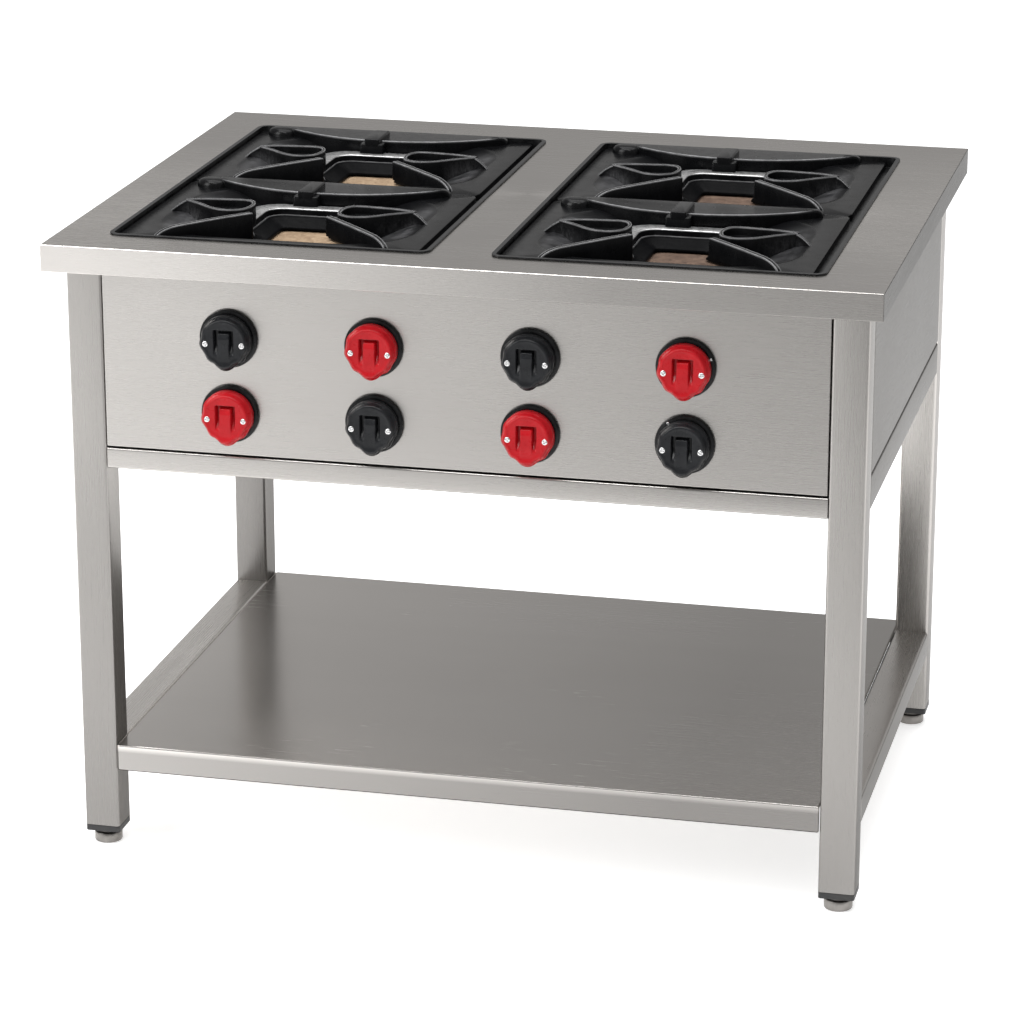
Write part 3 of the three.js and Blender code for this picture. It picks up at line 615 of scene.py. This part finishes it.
def plate_rings():
    """Reach and height of each ring of the plate, from its outer edge in to the hole and back."""
    angle = np.linspace(0, 2 * math.pi, AROUND, endpoint=False)
    degrees = np.degrees(angle)
    past_left_fin = smooth(LEFT_FIN - 3, LEFT_FIN + 3, degrees)
    before_right_fin = 1 - smooth(RIGHT_FIN - 3, RIGHT_FIN + 3, degrees)
    behind = 1 - past_left_fin * before_right_fin
    width, depth = PLATE
    flat = np.zeros(AROUND)
    rings = [(rounded_reach(width, depth, 8, angle), flat),
             (rounded_reach(width, depth, 8, angle), flat + FLANGE - 1.2),
             (rounded_reach(width - 0.8, depth - 0.8, 7.6, angle), flat + FLANGE - 0.4),
             (rounded_reach(width - 2.4, depth - 2.4, 7, angle), flat + FLANGE)]
    foot, rim = collar_foot(angle), rounded_reach(*DISH, angle)
    for share in (1.05, 1.02, 1.0, 0.97, 0.93, 0.87, 0.8, 0.7, 0.6, 0.5, 0.4, 0.3, 0.2, 0.12, 0.05, 0.0):
        reach = foot + (rim - foot) * share
        height = dish_height(reach * np.cos(angle), reach * np.sin(angle))
        rings.append((reach, height - 0.5 * smooth(0.9, 1.0, share) * (share <= 1.0)))
    collar, ledge, hole = rounded_reach(*COLLAR, angle), rounded_reach(*LEDGE, angle), hole_reach(angle)
    steps = [(collar, TROUGH + 1), (collar, 1.2), (collar - 0.5, 2.4), (collar - 1.8, 3.0),
             (ledge + 1.8, 3.0), (ledge + 0.4, 2.3), (ledge, 1.0), (ledge - 0.2, -5.4),
             (ledge - 1.0, -6.0), (ledge - 1.8, -5.2), (ledge - 2.6, -5.0), (ledge - 3.6, -6.6),
             (ledge - 4.6, -6.4), (ledge - 5.6, -8.0), ((ledge + hole) / 2 - 3, -13.5),
             (hole + 2.4, -18.2), (hole + 0.9, -18.7), (hole, -20.0)]
    for index, (reach, height) in enumerate(steps):
        clear = hole + 0.7 * (len(steps) - 1 - index)
        floor = min(height, TROUGH + 0.2)
        rings.append((np.maximum(reach, clear), floor + (height - floor) * behind))
    rings.append((hole, flat - 22.0))
    rings.append((foot, flat + TROUGH - CAST_WALL))
    for share in (0.25, 0.5, 0.75, 1.0):
        reach = foot + (rim - foot) * share
        height = dish_height(reach * np.cos(angle), reach * np.sin(angle))
        rings.append((reach + CAST_WALL * 0.7, np.minimum(height - CAST_WALL, -0.05 * (1 - share))))
    return angle, rings


def casting_plate():
    angle, rings = plate_rings()
    points = []
    for reach, height in rings:
        points += list(zip(reach * np.cos(angle), reach * np.sin(angle), height))
    count = len(rings)
    faces = grid_faces(count, AROUND, closed=True)
    last = (count - 1) * AROUND
    faces += [(last + i, last + (i + 1) % AROUND, (i + 1) % AROUND, i) for i in range(AROUND)]
    return points, faces


def curve_through(knots, per_span=8):
    """A smooth run of points through given ones."""
    knots = [np.array(k, float) for k in knots]
    ends = [2 * knots[0] - knots[1]] + knots + [2 * knots[-1] - knots[-2]]
    points = []
    for a, b, c, d in zip(ends, ends[1:], ends[2:], ends[3:]):
        for i in range(per_span):
            t = i / per_span
            points.append(0.5 * (2 * b + (c - a) * t + (2 * a - 5 * b + 4 * c - d) * t ** 2
                                 + (3 * b - a - 3 * c + d) * t ** 3))
    return points + [knots[-1]]


# across the width, down from the top, and how much painted highlight the point carries (also standing for
# edge wear); None is the foot
RIB_SECTION = [(-0.5, None, 0), (-0.5, -2.2, 0), (-0.43, -0.8, 0.5), (-0.32, -0.1, 0.9), (-0.14, -0.35, 0),
               (0.0, -0.5, 0), (0.14, -0.35, 0), (0.32, -0.1, 0.9), (0.43, -0.8, 0.5), (0.5, -2.2, 0),
               (0.5, None, 0)]


def rib(stations):
    """A standing wall along a line of (x, y, top, foot, width), with a grooved, rounded top."""
    places = [np.array(s[:2], float) for s in stations]
    points = []
    for i, station in enumerate(stations):
        top, foot, width = station[2:]
        along = places[min(i + 1, len(places) - 1)] - places[max(i - 1, 0)]
        along = along / max(np.hypot(*along), 1e-6)
        across = np.array((-along[1], along[0]))
        for offset, drop, highlight_and_wear in RIB_SECTION:
            place = places[i] + across * offset * width
            height = foot if drop is None else max(top + drop * min(1.0, width / 5.0), foot + 0.05)
            points.append((place[0], place[1], height, highlight_and_wear))
    size = len(RIB_SECTION)
    faces = [tuple(reversed(face)) for face in grid_faces(len(stations), size, closed=True)]
    first = tuple(range(size))
    last = tuple(reversed(range((len(stations) - 1) * size, len(stations) * size)))
    return points, faces + [first, last]


def fin(degrees, undercut):
    """A front finger: level over the flame, then rounded down to the flange."""
    angle = math.radians(degrees)
    tip, bend, reach = 75.0, 188.0, 224.0
    stations = []
    for u in [tip, tip + 0.5, tip + 1.6, tip + 3.5] + list(np.linspace(82, bend, 16)) + [
            bend + (reach - bend) * math.sin(math.radians(a)) for a in range(8, 91, 8)]:
        x, y = u * math.cos(angle), u * math.sin(angle)
        top = CAST_TOP - 0.4 - 1.6 * max(0, (u - tip) / (bend - tip)) ** 2
        if u > bend:
            run = (u - bend) / (reach - bend)
            top = FLANGE - 0.5 + (top - FLANGE + 0.5) * math.sqrt(max(1 - run ** 2, 0))
        rounding = math.sqrt(max(0.0, 1 - (1 - min((u - tip) / 3.5, 1)) ** 2))
        foot = UNDERCUT_TOP if undercut and u < 130 else foot_height(x, y)
        width = 5.5 + 4.0 * rounding - 1.5 * max(0.0, u - bend) / (reach - bend)
        stations.append((x, y, top - 1.5 * (1 - rounding), foot, width))
    return rib(stations)


LEAF_LOOP = [(157, -1), (150, -6), (134, -20), (118, -35), (104, -45), (84, -49), (67, -39), (61.5, -18),
             (63.5, -2), (71, 9.5), (85, 12), (110, 9.5), (135, 7), (152, 4), (159, 1)]


def leaf(side):
    """A side finger: a loop of rib, blunt at the flame, with a sunk web, and a tail on the dish."""
    loop = curve_through(LEAF_LOOP)
    stations = []
    for x, y in loop:
        top = CAST_TOP - 0.3 - 0.8 * float(smooth(120, 158, x))
        stations.append((side * x, y, top, foot_height(side * x, y), 5.6))
    parts = [rib(stations)]
    tail = curve_through([(152, 0, 23.2), (160, -2, 21.0), (169, -5, 15.5), (178, -9, 8.2)], per_span=4)
    parts.append(rib([(side * x, y, z, min(z - 2, foot_height(side * x, y)), 6.5 - 0.12 * (x - 152))
                      for x, y, z in tail]))
    low = 13.0
    outline = [(side * x, y) for x, y in loop[4:-4]]
    count = len(outline)
    middle_x, middle_y = side * 100, -14
    points = []
    for shrink, height in ((1.0, low - 12), (1.0, low + 1.5), (0.9, low), (0.5, low - 0.8)):
        for x, y in outline:
            points.append((middle_x + (x - middle_x) * shrink, middle_y + (y - middle_y) * shrink, height))
    points.append((middle_x, middle_y, low - 1.0))
    faces = grid_faces(4, count, closed=True)
    faces += [(3 * count + i, 3 * count + (i + 1) % count, 4 * count) for i in range(count)]
    faces.append(tuple(reversed(range(count))))
    if side < 0:
        faces = [tuple(reversed(face)) for face in faces]
    parts.append((points, faces))
    return parts


def web_front(x):
    return 90.0 + 60.0 * (np.abs(x) / 165.0) ** 2.2


def rear_web():
    """The raised plateau along the back: its front edge bows towards the flame and carries a raised lip,
    marked with painted highlight that also stands for edge wear.
    """
    section = [(0.0, None, 0), (0.0, 15.2, 0), (0.25, 17.0, 0.1), (1.0, 18.3, 0.9), (2.2, 18.7, 0.9),
               (3.6, 18.2, 0.1), (5.2, 17.5, 0)]
    points = []
    half, back = 168.0, 164.0
    stations = half * np.sin(np.radians(np.linspace(-90, 90, 61)))
    for x in stations:
        front = float(web_front(min(abs(x), 165.0)))
        run = max(0.0, (abs(x) - 156.0) / 12.0)
        drop = 9.0 * (1 - math.sqrt(max(0.0, 1 - run ** 2)))
        room = back - front - 1.0
        foot = float(dish_height(np.array(x), np.array(front))) - 3.0
        fading = float(1 - smooth(135, 158, abs(x)))
        for ahead, height, highlight_and_wear in section:
            points.append((x, front + min(ahead, 0.6 * room), foot if height is None else height - drop,
                           highlight_and_wear * fading))
        points += [(x, back - 4, 17.3 - drop), (x, back - 1.2, 16.9 - drop)]
        points += [(x, back, 15.6 - drop), (x, back, 2.0)]
    size = len(section) + 4
    faces = grid_faces(len(stations), size, closed=True)
    faces = [tuple(reversed(face)) for face in faces]
    faces += [tuple(range(size)), tuple(reversed(range((len(stations) - 1) * size, len(stations) * size)))]
    return points, [tuple(reversed(face)) for face in faces]


def block(x0, x1, y0, y1, low, top, corner=2.5, lean=0.0):
    """A cast block with rounded corners and a rolled top edge; its front may lean back."""
    half_x, half_y = (x1 - x0) / 2, (y1 - y0) / 2
    rings = [(0, low), (0, top - 2.2), (0.4, top - 1.0), (1.2, top - 0.25), (2.4, top)]
    points = []
    for inset, height in rings:
        outline = rounded_outline(half_x - inset, half_y - inset, max(corner - 0.4 * inset, 0.8))
        for px, py in outline:
            shift = lean * (height - low) / (top - low) * (1 if py < 0 else 0)
            points.append(((x0 + x1) / 2 + px, (y0 + y1) / 2 + py + shift, height))
    count = len(points) // len(rings)
    faces = grid_faces(len(rings), count, closed=True)
    faces += [tuple(reversed(range(count))), tuple(range(len(points) - count, len(points)))]
    return points, faces


def boss(x, y, radius, low, top, sway):
    """A lump on the end of the web, rounded over at the top."""
    profile = [(1.15, low), (1.05, low + 4), (0.98, top - 8), (0.92, top - 5), (0.82, top - 2.6),
               (0.66, top - 1.0), (0.4, top - 0.2), (0.15, top)]
    count = 28
    points = []
    for share, height in profile:
        for i in range(count):
            angle = 2 * math.pi * i / count
            reach = radius * share * (1 + sway * math.cos(2 * angle + 0.6))
            points.append((x + reach * math.cos(angle), y + reach * math.sin(angle), height))
    faces = grid_faces(len(profile), count, closed=True)
    faces += [tuple(reversed(range(count))), tuple(range(len(points) - count, len(points)))]
    return points, faces


def undercut_cutter():
    points = [(x, y, z) for z in (TROUGH - 12, UNDERCUT_TOP) for x, y in UNDERCUT]
    count = len(UNDERCUT)
    faces = grid_faces(2, count, closed=True)
    faces += [tuple(reversed(range(count))), tuple(range(count, 2 * count))]
    return points, [tuple(reversed(face)) for face in faces]


def cut(mesh, cutter_points, cutter_faces):
    """The mesh less the cutter."""
    body = bpy.data.objects.new("to_cut", mesh)
    tool = bpy.data.objects.new("cutter", outward_mesh("cutter", cutter_points, cutter_faces))
    for item in (body, tool):
        bpy.context.scene.collection.objects.link(item)
    change = body.modifiers.new("cut", "BOOLEAN")
    change.operation = "DIFFERENCE"
    change.solver = "EXACT"
    change.object = tool
    bpy.context.view_layer.update()
    result = bpy.data.meshes.new_from_object(body.evaluated_get(bpy.context.evaluated_depsgraph_get()))
    for item in (body, tool):
        bpy.data.objects.remove(item)
    return result


def casting_parts():
    """Every cast part but the plate, each as (points, faces)."""
    parts = [fin(LEFT_FIN, False), fin(RIGHT_FIN, True), rear_web()]
    for side in (-1, 1):
        parts += leaf(side)
    parts.append(block(-25, -3, 73, 136, 2, CAST_TOP, lean=1.0))
    parts.append(block(-31.5, 2.5, 72, 104, 2, 16.8, lean=2.0))
    parts.append(boss(-168, 143, 19, TROUGH + 14, CAST_TOP - 4.5, 0.12))
    parts.append(boss(-156, 147, 13, TROUGH + 14, CAST_TOP - 5.5, 0.1))
    parts.append(boss(150, 153, 9, TROUGH + 14, CAST_TOP - 5.5, 0.08))
    return parts


def plate_highlight_lines(x, y, z):
    """Painted highlight lines, also standing for edge wear, round the front edge of the collar's top and on
    the lip below it.
    """
    angle = np.array(math.atan2(y, x))
    inside = math.hypot(x, y) - float(rounded_reach(*LEDGE, angle))
    if abs(z - COLLAR_TOP) < 1.0 and -0.5 < inside < 2.0:
        return 1.0
    return 0.8 if -3.2 < inside < -1.4 and z > -6.0 else 0.0


def mark_scuffs_and_highlights(piece, centre, highlight_and_wear):
    """Scuffs on the dish's two sides, soot in the dish, painted highlight lines on the edges that also stand
    for edge wear, and a bare collar top.
    """
    mesh = piece.data
    spots = np.empty(len(mesh.vertices) * 3)
    mesh.vertices.foreach_get("co", spots)
    x, y, z = ((spots.reshape(-1, 3) - centre) / MM).T
    sides = smooth(108, 140, np.abs(x)) * (1 - smooth(158, 174, np.abs(x))) * (1 - smooth(7.0, 7.9, z))
    sides = sides * smooth(-130, -70, y) * (1 - smooth(50, 110, y))
    soot = (1 - smooth(6.8, 8.1, z)) * (1 - 0.4 * sides)
    for name, values in (("wear", sides), ("soot", soot), ("edge", np.array(highlight_and_wear))):
        mesh.attributes.new(name, "FLOAT", "POINT").data.foreach_set("value", values)
    for face in mesh.polygons:
        fx, fy, fz = (np.array(face.center) - centre) / MM
        reach = math.hypot(fx, fy)
        if abs(fz - COLLAR_TOP) < 1.7 and face.normal.z > 0.4 and 50 < reach < 102 and fy > -10:
            face.material_index = 1


def build_castings():
    plate = cut(outward_mesh("casting_plate", *casting_plate()), *undercut_cutter())
    points = [tuple(v.co) for v in plate.vertices]
    # painted highlight lines, also standing for edge wear, kept per point for the plate and every cast part
    highlight_and_wear = [plate_highlight_lines(*point) for point in points]
    faces = [tuple(face.vertices) for face in plate.polygons]
    for part_points, part_faces in casting_parts():
        first = len(points)
        points += [tuple(point[:3]) for point in part_points]
        highlight_and_wear += [point[3] if len(point) > 3 else 0.0 for point in part_points]
        faces += [tuple(first + i for i in face) for face in part_faces]
    for corner in CORNERS:
        node = f"pan_support_{corner}"
        low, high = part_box(node)
        centre = np.array([(low.x + high.x) / 2, (low.y + high.y) / 2, high.z - CAST_TOP * MM])
        piece = make_mesh(f"{node}_casting", np.array(points) * MM + centre, faces, IRON)
        piece.data.materials.append(BARE_IRON)
        mark_scuffs_and_highlights(piece, centre, highlight_and_wear)
        piece.data.set_sharp_from_angle(angle=math.radians(50))
        stand_for(piece, node)
    for side in ("left", "right"):
        dress(f"opening_frame_{side}", ENAMEL, 0.8 * MM)


def build_burners():
    for corner in CORNERS:
        dress(f"burner_{corner}", TAN if corner.endswith("left") else RUST, 0.8 * MM)


# ------------------------------------------------------------------- controls
# millimetres, from a knob's axis and from its base
KNOB_RADIUS = 33.8
KNOB_FACE = 20.2
KNOB_LOBE = 4.4
KNOB_SCREW_OUT, KNOB_SCREW_DOWN = 24.6, 2.5
BEZEL_SCREW_OUT = 35
# direction of each bezel's small screw, in degrees, where it differs from the common one
BEZEL_SCREW_ANGLES = {"upper_4": 22, "lower_4": 128}


def knob_radius(angle):
    """Outline of the knob: shallow scallops low and left, a broad lobe at the bottom."""
    from_bottom = np.arctan2(np.sin(angle + math.pi / 2), np.cos(angle + math.pi / 2))
    scallops = smooth(-2.7, -1.6, from_bottom) * (1 - smooth(0.9, 1.5, from_bottom))
    lobe = KNOB_LOBE * np.exp(-(from_bottom / 0.4) ** 4)
    return KNOB_RADIUS + scallops * np.cos(9 * from_bottom) + lobe


def knob_height(x, y, share):
    """Face of the knob above the bezel: rolled shoulder, dished middle, sunk grip."""
    height = KNOB_FACE - 7.0 * smooth(0.84, 1.0, share) ** 1.6 - 0.9 * (1 - smooth(0.2, 0.8, share))
    height = height + 0.5 * np.exp(-((share - 0.82) / 0.06) ** 2)
    height = height + 0.9 * np.exp(-((y + 31) / 3) ** 2 - (x / 8) ** 2)
    depth = 9.0 * smooth(-18, -2, y)
    outer = (1 - smooth(12.4, 13.6, np.abs(x))) * (1 - smooth(15.5, 17.0, y)) * (y > -19)
    bar = (1 - smooth(7.4, 8.6, np.abs(x))) * (1 - smooth(11.6, 13.0, y))
    height = height - depth * outer * (1 - bar)
    return height + bar * smooth(-26, -8, y) * (1.4 - 2.4 * smooth(4, 13, y))


def knob_piece(name, centre, finish, base, rings=46, steps=144):
    angles = np.linspace(0, 2 * math.pi, steps, endpoint=False)
    radius = knob_radius(angles)
    points = []
    for ring in range(1, rings + 1):
        share = ring / rings
        x, y = radius * share * np.cos(angles), radius * share * np.sin(angles)
        for px, py, pz in zip(x, y, knob_height(x, y, np.full(steps, share))):
            points.append((px, py, pz))
    for drop, grow in ((10.5, 1.012), (3.0, 1.012), (0.8, 0.985), (0.0, 0.95)):
        for px, py in zip(radius * grow * np.cos(angles), radius * grow * np.sin(angles)):
            points.append((px, py, drop))
    rows = rings + 4
    faces = [tuple(reversed(face)) for face in grid_faces(rows, steps, closed=True)]
    middle = len(points)
    points.append((0, 0, float(knob_height(np.array([0.0]), np.array([0.0]), np.array([0.0]))[0])))
    points.append((0, 0, 0))
    faces += [(middle, i, (i + 1) % steps) for i in range(steps)]
    last = (rows - 1) * steps
    faces += [(middle + 1, last + (i + 1) % steps, last + i) for i in range(steps)]
    placed = [(centre[0] + px * MM, base - pz * MM, centre[2] + py * MM) for px, py, pz in points]
    piece = make_mesh(name, placed, faces, finish)
    return piece


def screw_head(name, places, radius=3.9):
    """Small domed heads with a cross slot, set into a face that looks towards -Y."""
    points, faces = [], []
    steps, profile = 24, [(1.0, -0.6), (1.0, 0.5), (0.8, 1.1), (0.45, 1.4)]
    for x, y, z, turn in places:
        first = len(points)
        for share, height in profile:
            for i in range(steps):
                angle = 2 * math.pi * i / steps
                slot = min(abs(math.sin(angle + turn)), abs(math.cos(angle + turn))) < 0.3
                sunk = 0.9 if slot and share < 0.7 else 0.0
                points.append((x + share * radius * MM * math.cos(angle),
                               y - (height - sunk) * MM, z + share * radius * MM * math.sin(angle)))
        points.append((x, y - 0.5 * MM, z))
        faces += grid_faces(len(profile), steps, closed=True, first=first)
        top = first + (len(profile) - 1) * steps
        faces += [(top + i, top + (i + 1) % steps, len(points) - 1) for i in range(steps)]
        faces.append(tuple(reversed(range(first, first + steps))))
    return make_mesh(name, points, faces, SCREW)


def build_controls():
    for index, slot_name in enumerate(name[5:] for name in sorted(frame["nodes"])
                                      if name.startswith("knob_") and "bezel" not in name):
        node, ring = f"knob_{slot_name}", f"knob_bezel_{slot_name}"
        low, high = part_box(ring)
        centre = ((low.x + high.x) / 2, high.y, (low.z + high.z) / 2)
        radius = (high.x - low.x) / 2
        thick = high.y - low.y
        profile = [(9 * MM, 0), (radius - 0.4 * MM, 0), (radius, 0.5 * MM), (radius, thick - 2.2 * MM),
                   (radius - 0.8 * MM, thick - 0.8 * MM), (radius - 2.4 * MM, thick - 0.2 * MM),
                   (radius - 4 * MM, thick), (9 * MM, thick)]
        stand_for(lathe(f"{ring}_disc", profile, centre, ENAMEL, steps=72, axis="-Y"), ring)
        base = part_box(node)[1].y
        red = SLOT_OF[node] == "knob_red"
        stand_for(knob_piece(f"{node}_moulding", centre, RED if red else BLACK, base), node)
        face = base - (KNOB_FACE - 0.2) * MM
        heads = [(centre[0] + side * KNOB_SCREW_OUT * MM, face, centre[2] - KNOB_SCREW_DOWN * MM,
                  0.4 + side * 0.3 + index) for side in (-1, 1)]
        screws = screw_head(f"{node}_screws", heads)
        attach(screws, BODY_OF[node])
        turn = math.radians(BEZEL_SCREW_ANGLES.get(slot_name, 215 + 7 * index))
        out = BEZEL_SCREW_OUT * MM
        places = [(centre[0] + out * math.cos(turn), low.y + 0.4 * MM, centre[2] + out * math.sin(turn), 0.3)]
        small = screw_head(f"{ring}_screw", places, radius=1.9)
        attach(small, BODY_OF[ring])


def build_gas_parts():
    for column in range(1, 5):
        dress(f"twin_valve_{column}", BRASS, 0.8 * MM)
    dress("gas_manifold", PIPE, 0.5 * MM)


# ---------------------------------------------------------------------- studio
FLOOR_HALF = 14.0
FLOOR_GAP = 0.5 * MM
CAMERA_AZIMUTH, CAMERA_ELEVATION = 13.35, 17.86
CAMERA_TARGET, CAMERA_DISTANCE = (-0.0223, 0, 0.3925), 5.42
CAMERA_SENSOR, CAMERA_LENS = 36, 135.9
# each light's place, what it faces, its two sides in metres, and its power
LIGHTS = {"key_left": ((-3.6, -3.0, 3.0), (-0.3, 0, 0.5), (1.8, 2.4), 110),
          "overhead": ((-0.1, 0.6, 4.2), (-0.1, 0.6, 0), (4.4, 3.4), 150),
          "front_strip": ((-0.7, -1.7, 4.2), (-0.1, -0.3, 0.8), (4.0, 0.9), 90)}


def pale_floor():
    """A white floor that also glows a little as painted light, filling the shade near the range, behind it,
    and far to the front left; its colour is greyed towards the front as painted shade.
    """
    n = Nodes("studio_floor")
    tone = n.noise(n.place, 0.6, detail=2.0)
    depth = n.node("ShaderNodeSeparateXYZ", Vector=n.place).outputs["Y"]
    across = n.node("ShaderNodeSeparateXYZ", Vector=n.place).outputs["X"]
    near = n.between(depth, (-1.4, -0.7), (0.0, 0.32))
    below = n.between(depth, (-0.72, -0.4), (0.0, 0.26))
    far = n.between(depth, (0.8, 5.0), (0.0, 0.24))
    left = n.math("MULTIPLY", n.between(depth, (-2.6, -1.6), (1.0, 0.0)),
                  n.between(across, (-1.2, 0.1), (0.55, 0.0)))
    white = n.colours(tone, [(0.3, (0.92, 0.92, 0.92)), (0.7, (0.94, 0.94, 0.94))])
    finish = n.set(Base_Color=n.scaled(white, n.between(depth, (-2.4, -0.9), (0.62, 1.0))),
                   Roughness=0.9, Emission_Color=(1.0, 1.0, 1.0),
                   Emission_Strength=n.math("ADD", n.math("ADD", left, below), n.math("ADD", near, far)))
    half = FLOOR_HALF
    floor = make_mesh("floor", [(-half, -half, 0), (half, -half, 0), (half, half, 0), (-half, half, 0)],
                      [(0, 1, 2, 3)], finish, soft=False)
    floor.location.z = -FLOOR_GAP


def area_light(name, place, aim, size, power):
    light = bpy.data.lights.new(name, "AREA")
    light.shape = "RECTANGLE"
    light.size, light.size_y = size
    light.energy = power
    lamp = bpy.data.objects.new(name, light)
    lamp.location = place
    lamp.rotation_euler = (Vector(aim) - Vector(place)).to_track_quat("-Z", "Y").to_euler()
    bpy.context.scene.collection.objects.link(lamp)


def studio_world():
    """Soft surround: a little brighter in front than behind, so that sheet faces part in tone."""
    world = bpy.data.worlds.new("studio")
    world.use_nodes = True
    tree = world.node_tree
    place = tree.nodes.new("ShaderNodeTexCoord").outputs["Generated"]
    split = tree.nodes.new("ShaderNodeSeparateXYZ")
    tree.links.new(place, split.inputs[0])
    ramp = tree.nodes.new("ShaderNodeValToRGB")
    remap = tree.nodes.new("ShaderNodeMapRange")
    remap.inputs["From Min"].default_value = -1
    remap.inputs["From Max"].default_value = 1
    tree.links.new(split.outputs["Y"], remap.inputs["Value"])
    tree.links.new(remap.outputs["Result"], ramp.inputs["Fac"])
    front, back = ramp.color_ramp.elements
    front.position, front.color = 0.2, (0.45, 0.45, 0.45, 1)
    back.position, back.color = 0.85, (0.52, 0.515, 0.51, 1)
    background = tree.nodes["Background"]
    tree.links.new(ramp.outputs["Color"], background.inputs["Color"])
    background.inputs["Strength"].default_value = 0.8
    bpy.context.scene.world = world


def studio():
    pale_floor()
    studio_world()
    for name, settings in LIGHTS.items():
        area_light(name, *settings)


def camera():
    azimuth, elevation = math.radians(CAMERA_AZIMUTH), math.radians(CAMERA_ELEVATION)
    back = Vector((math.sin(azimuth) * math.cos(elevation), -math.cos(azimuth) * math.cos(elevation),
                   math.sin(elevation)))
    data = bpy.data.cameras.new("camera")
    data.sensor_width = CAMERA_SENSOR
    data.lens = CAMERA_LENS
    data.clip_end = 100
    eye = bpy.data.objects.new("camera", data)
    eye.location = Vector(CAMERA_TARGET) + back * CAMERA_DISTANCE
    eye.rotation_euler = (-back).to_track_quat("-Z", "Y").to_euler()
    bpy.context.scene.collection.objects.link(eye)
    bpy.context.scene.camera = eye


bpy.context.scene.view_settings.view_transform = "Standard"
camera()
studio()
build_stand()
build_castings()
build_burners()
build_controls()
build_gas_parts()
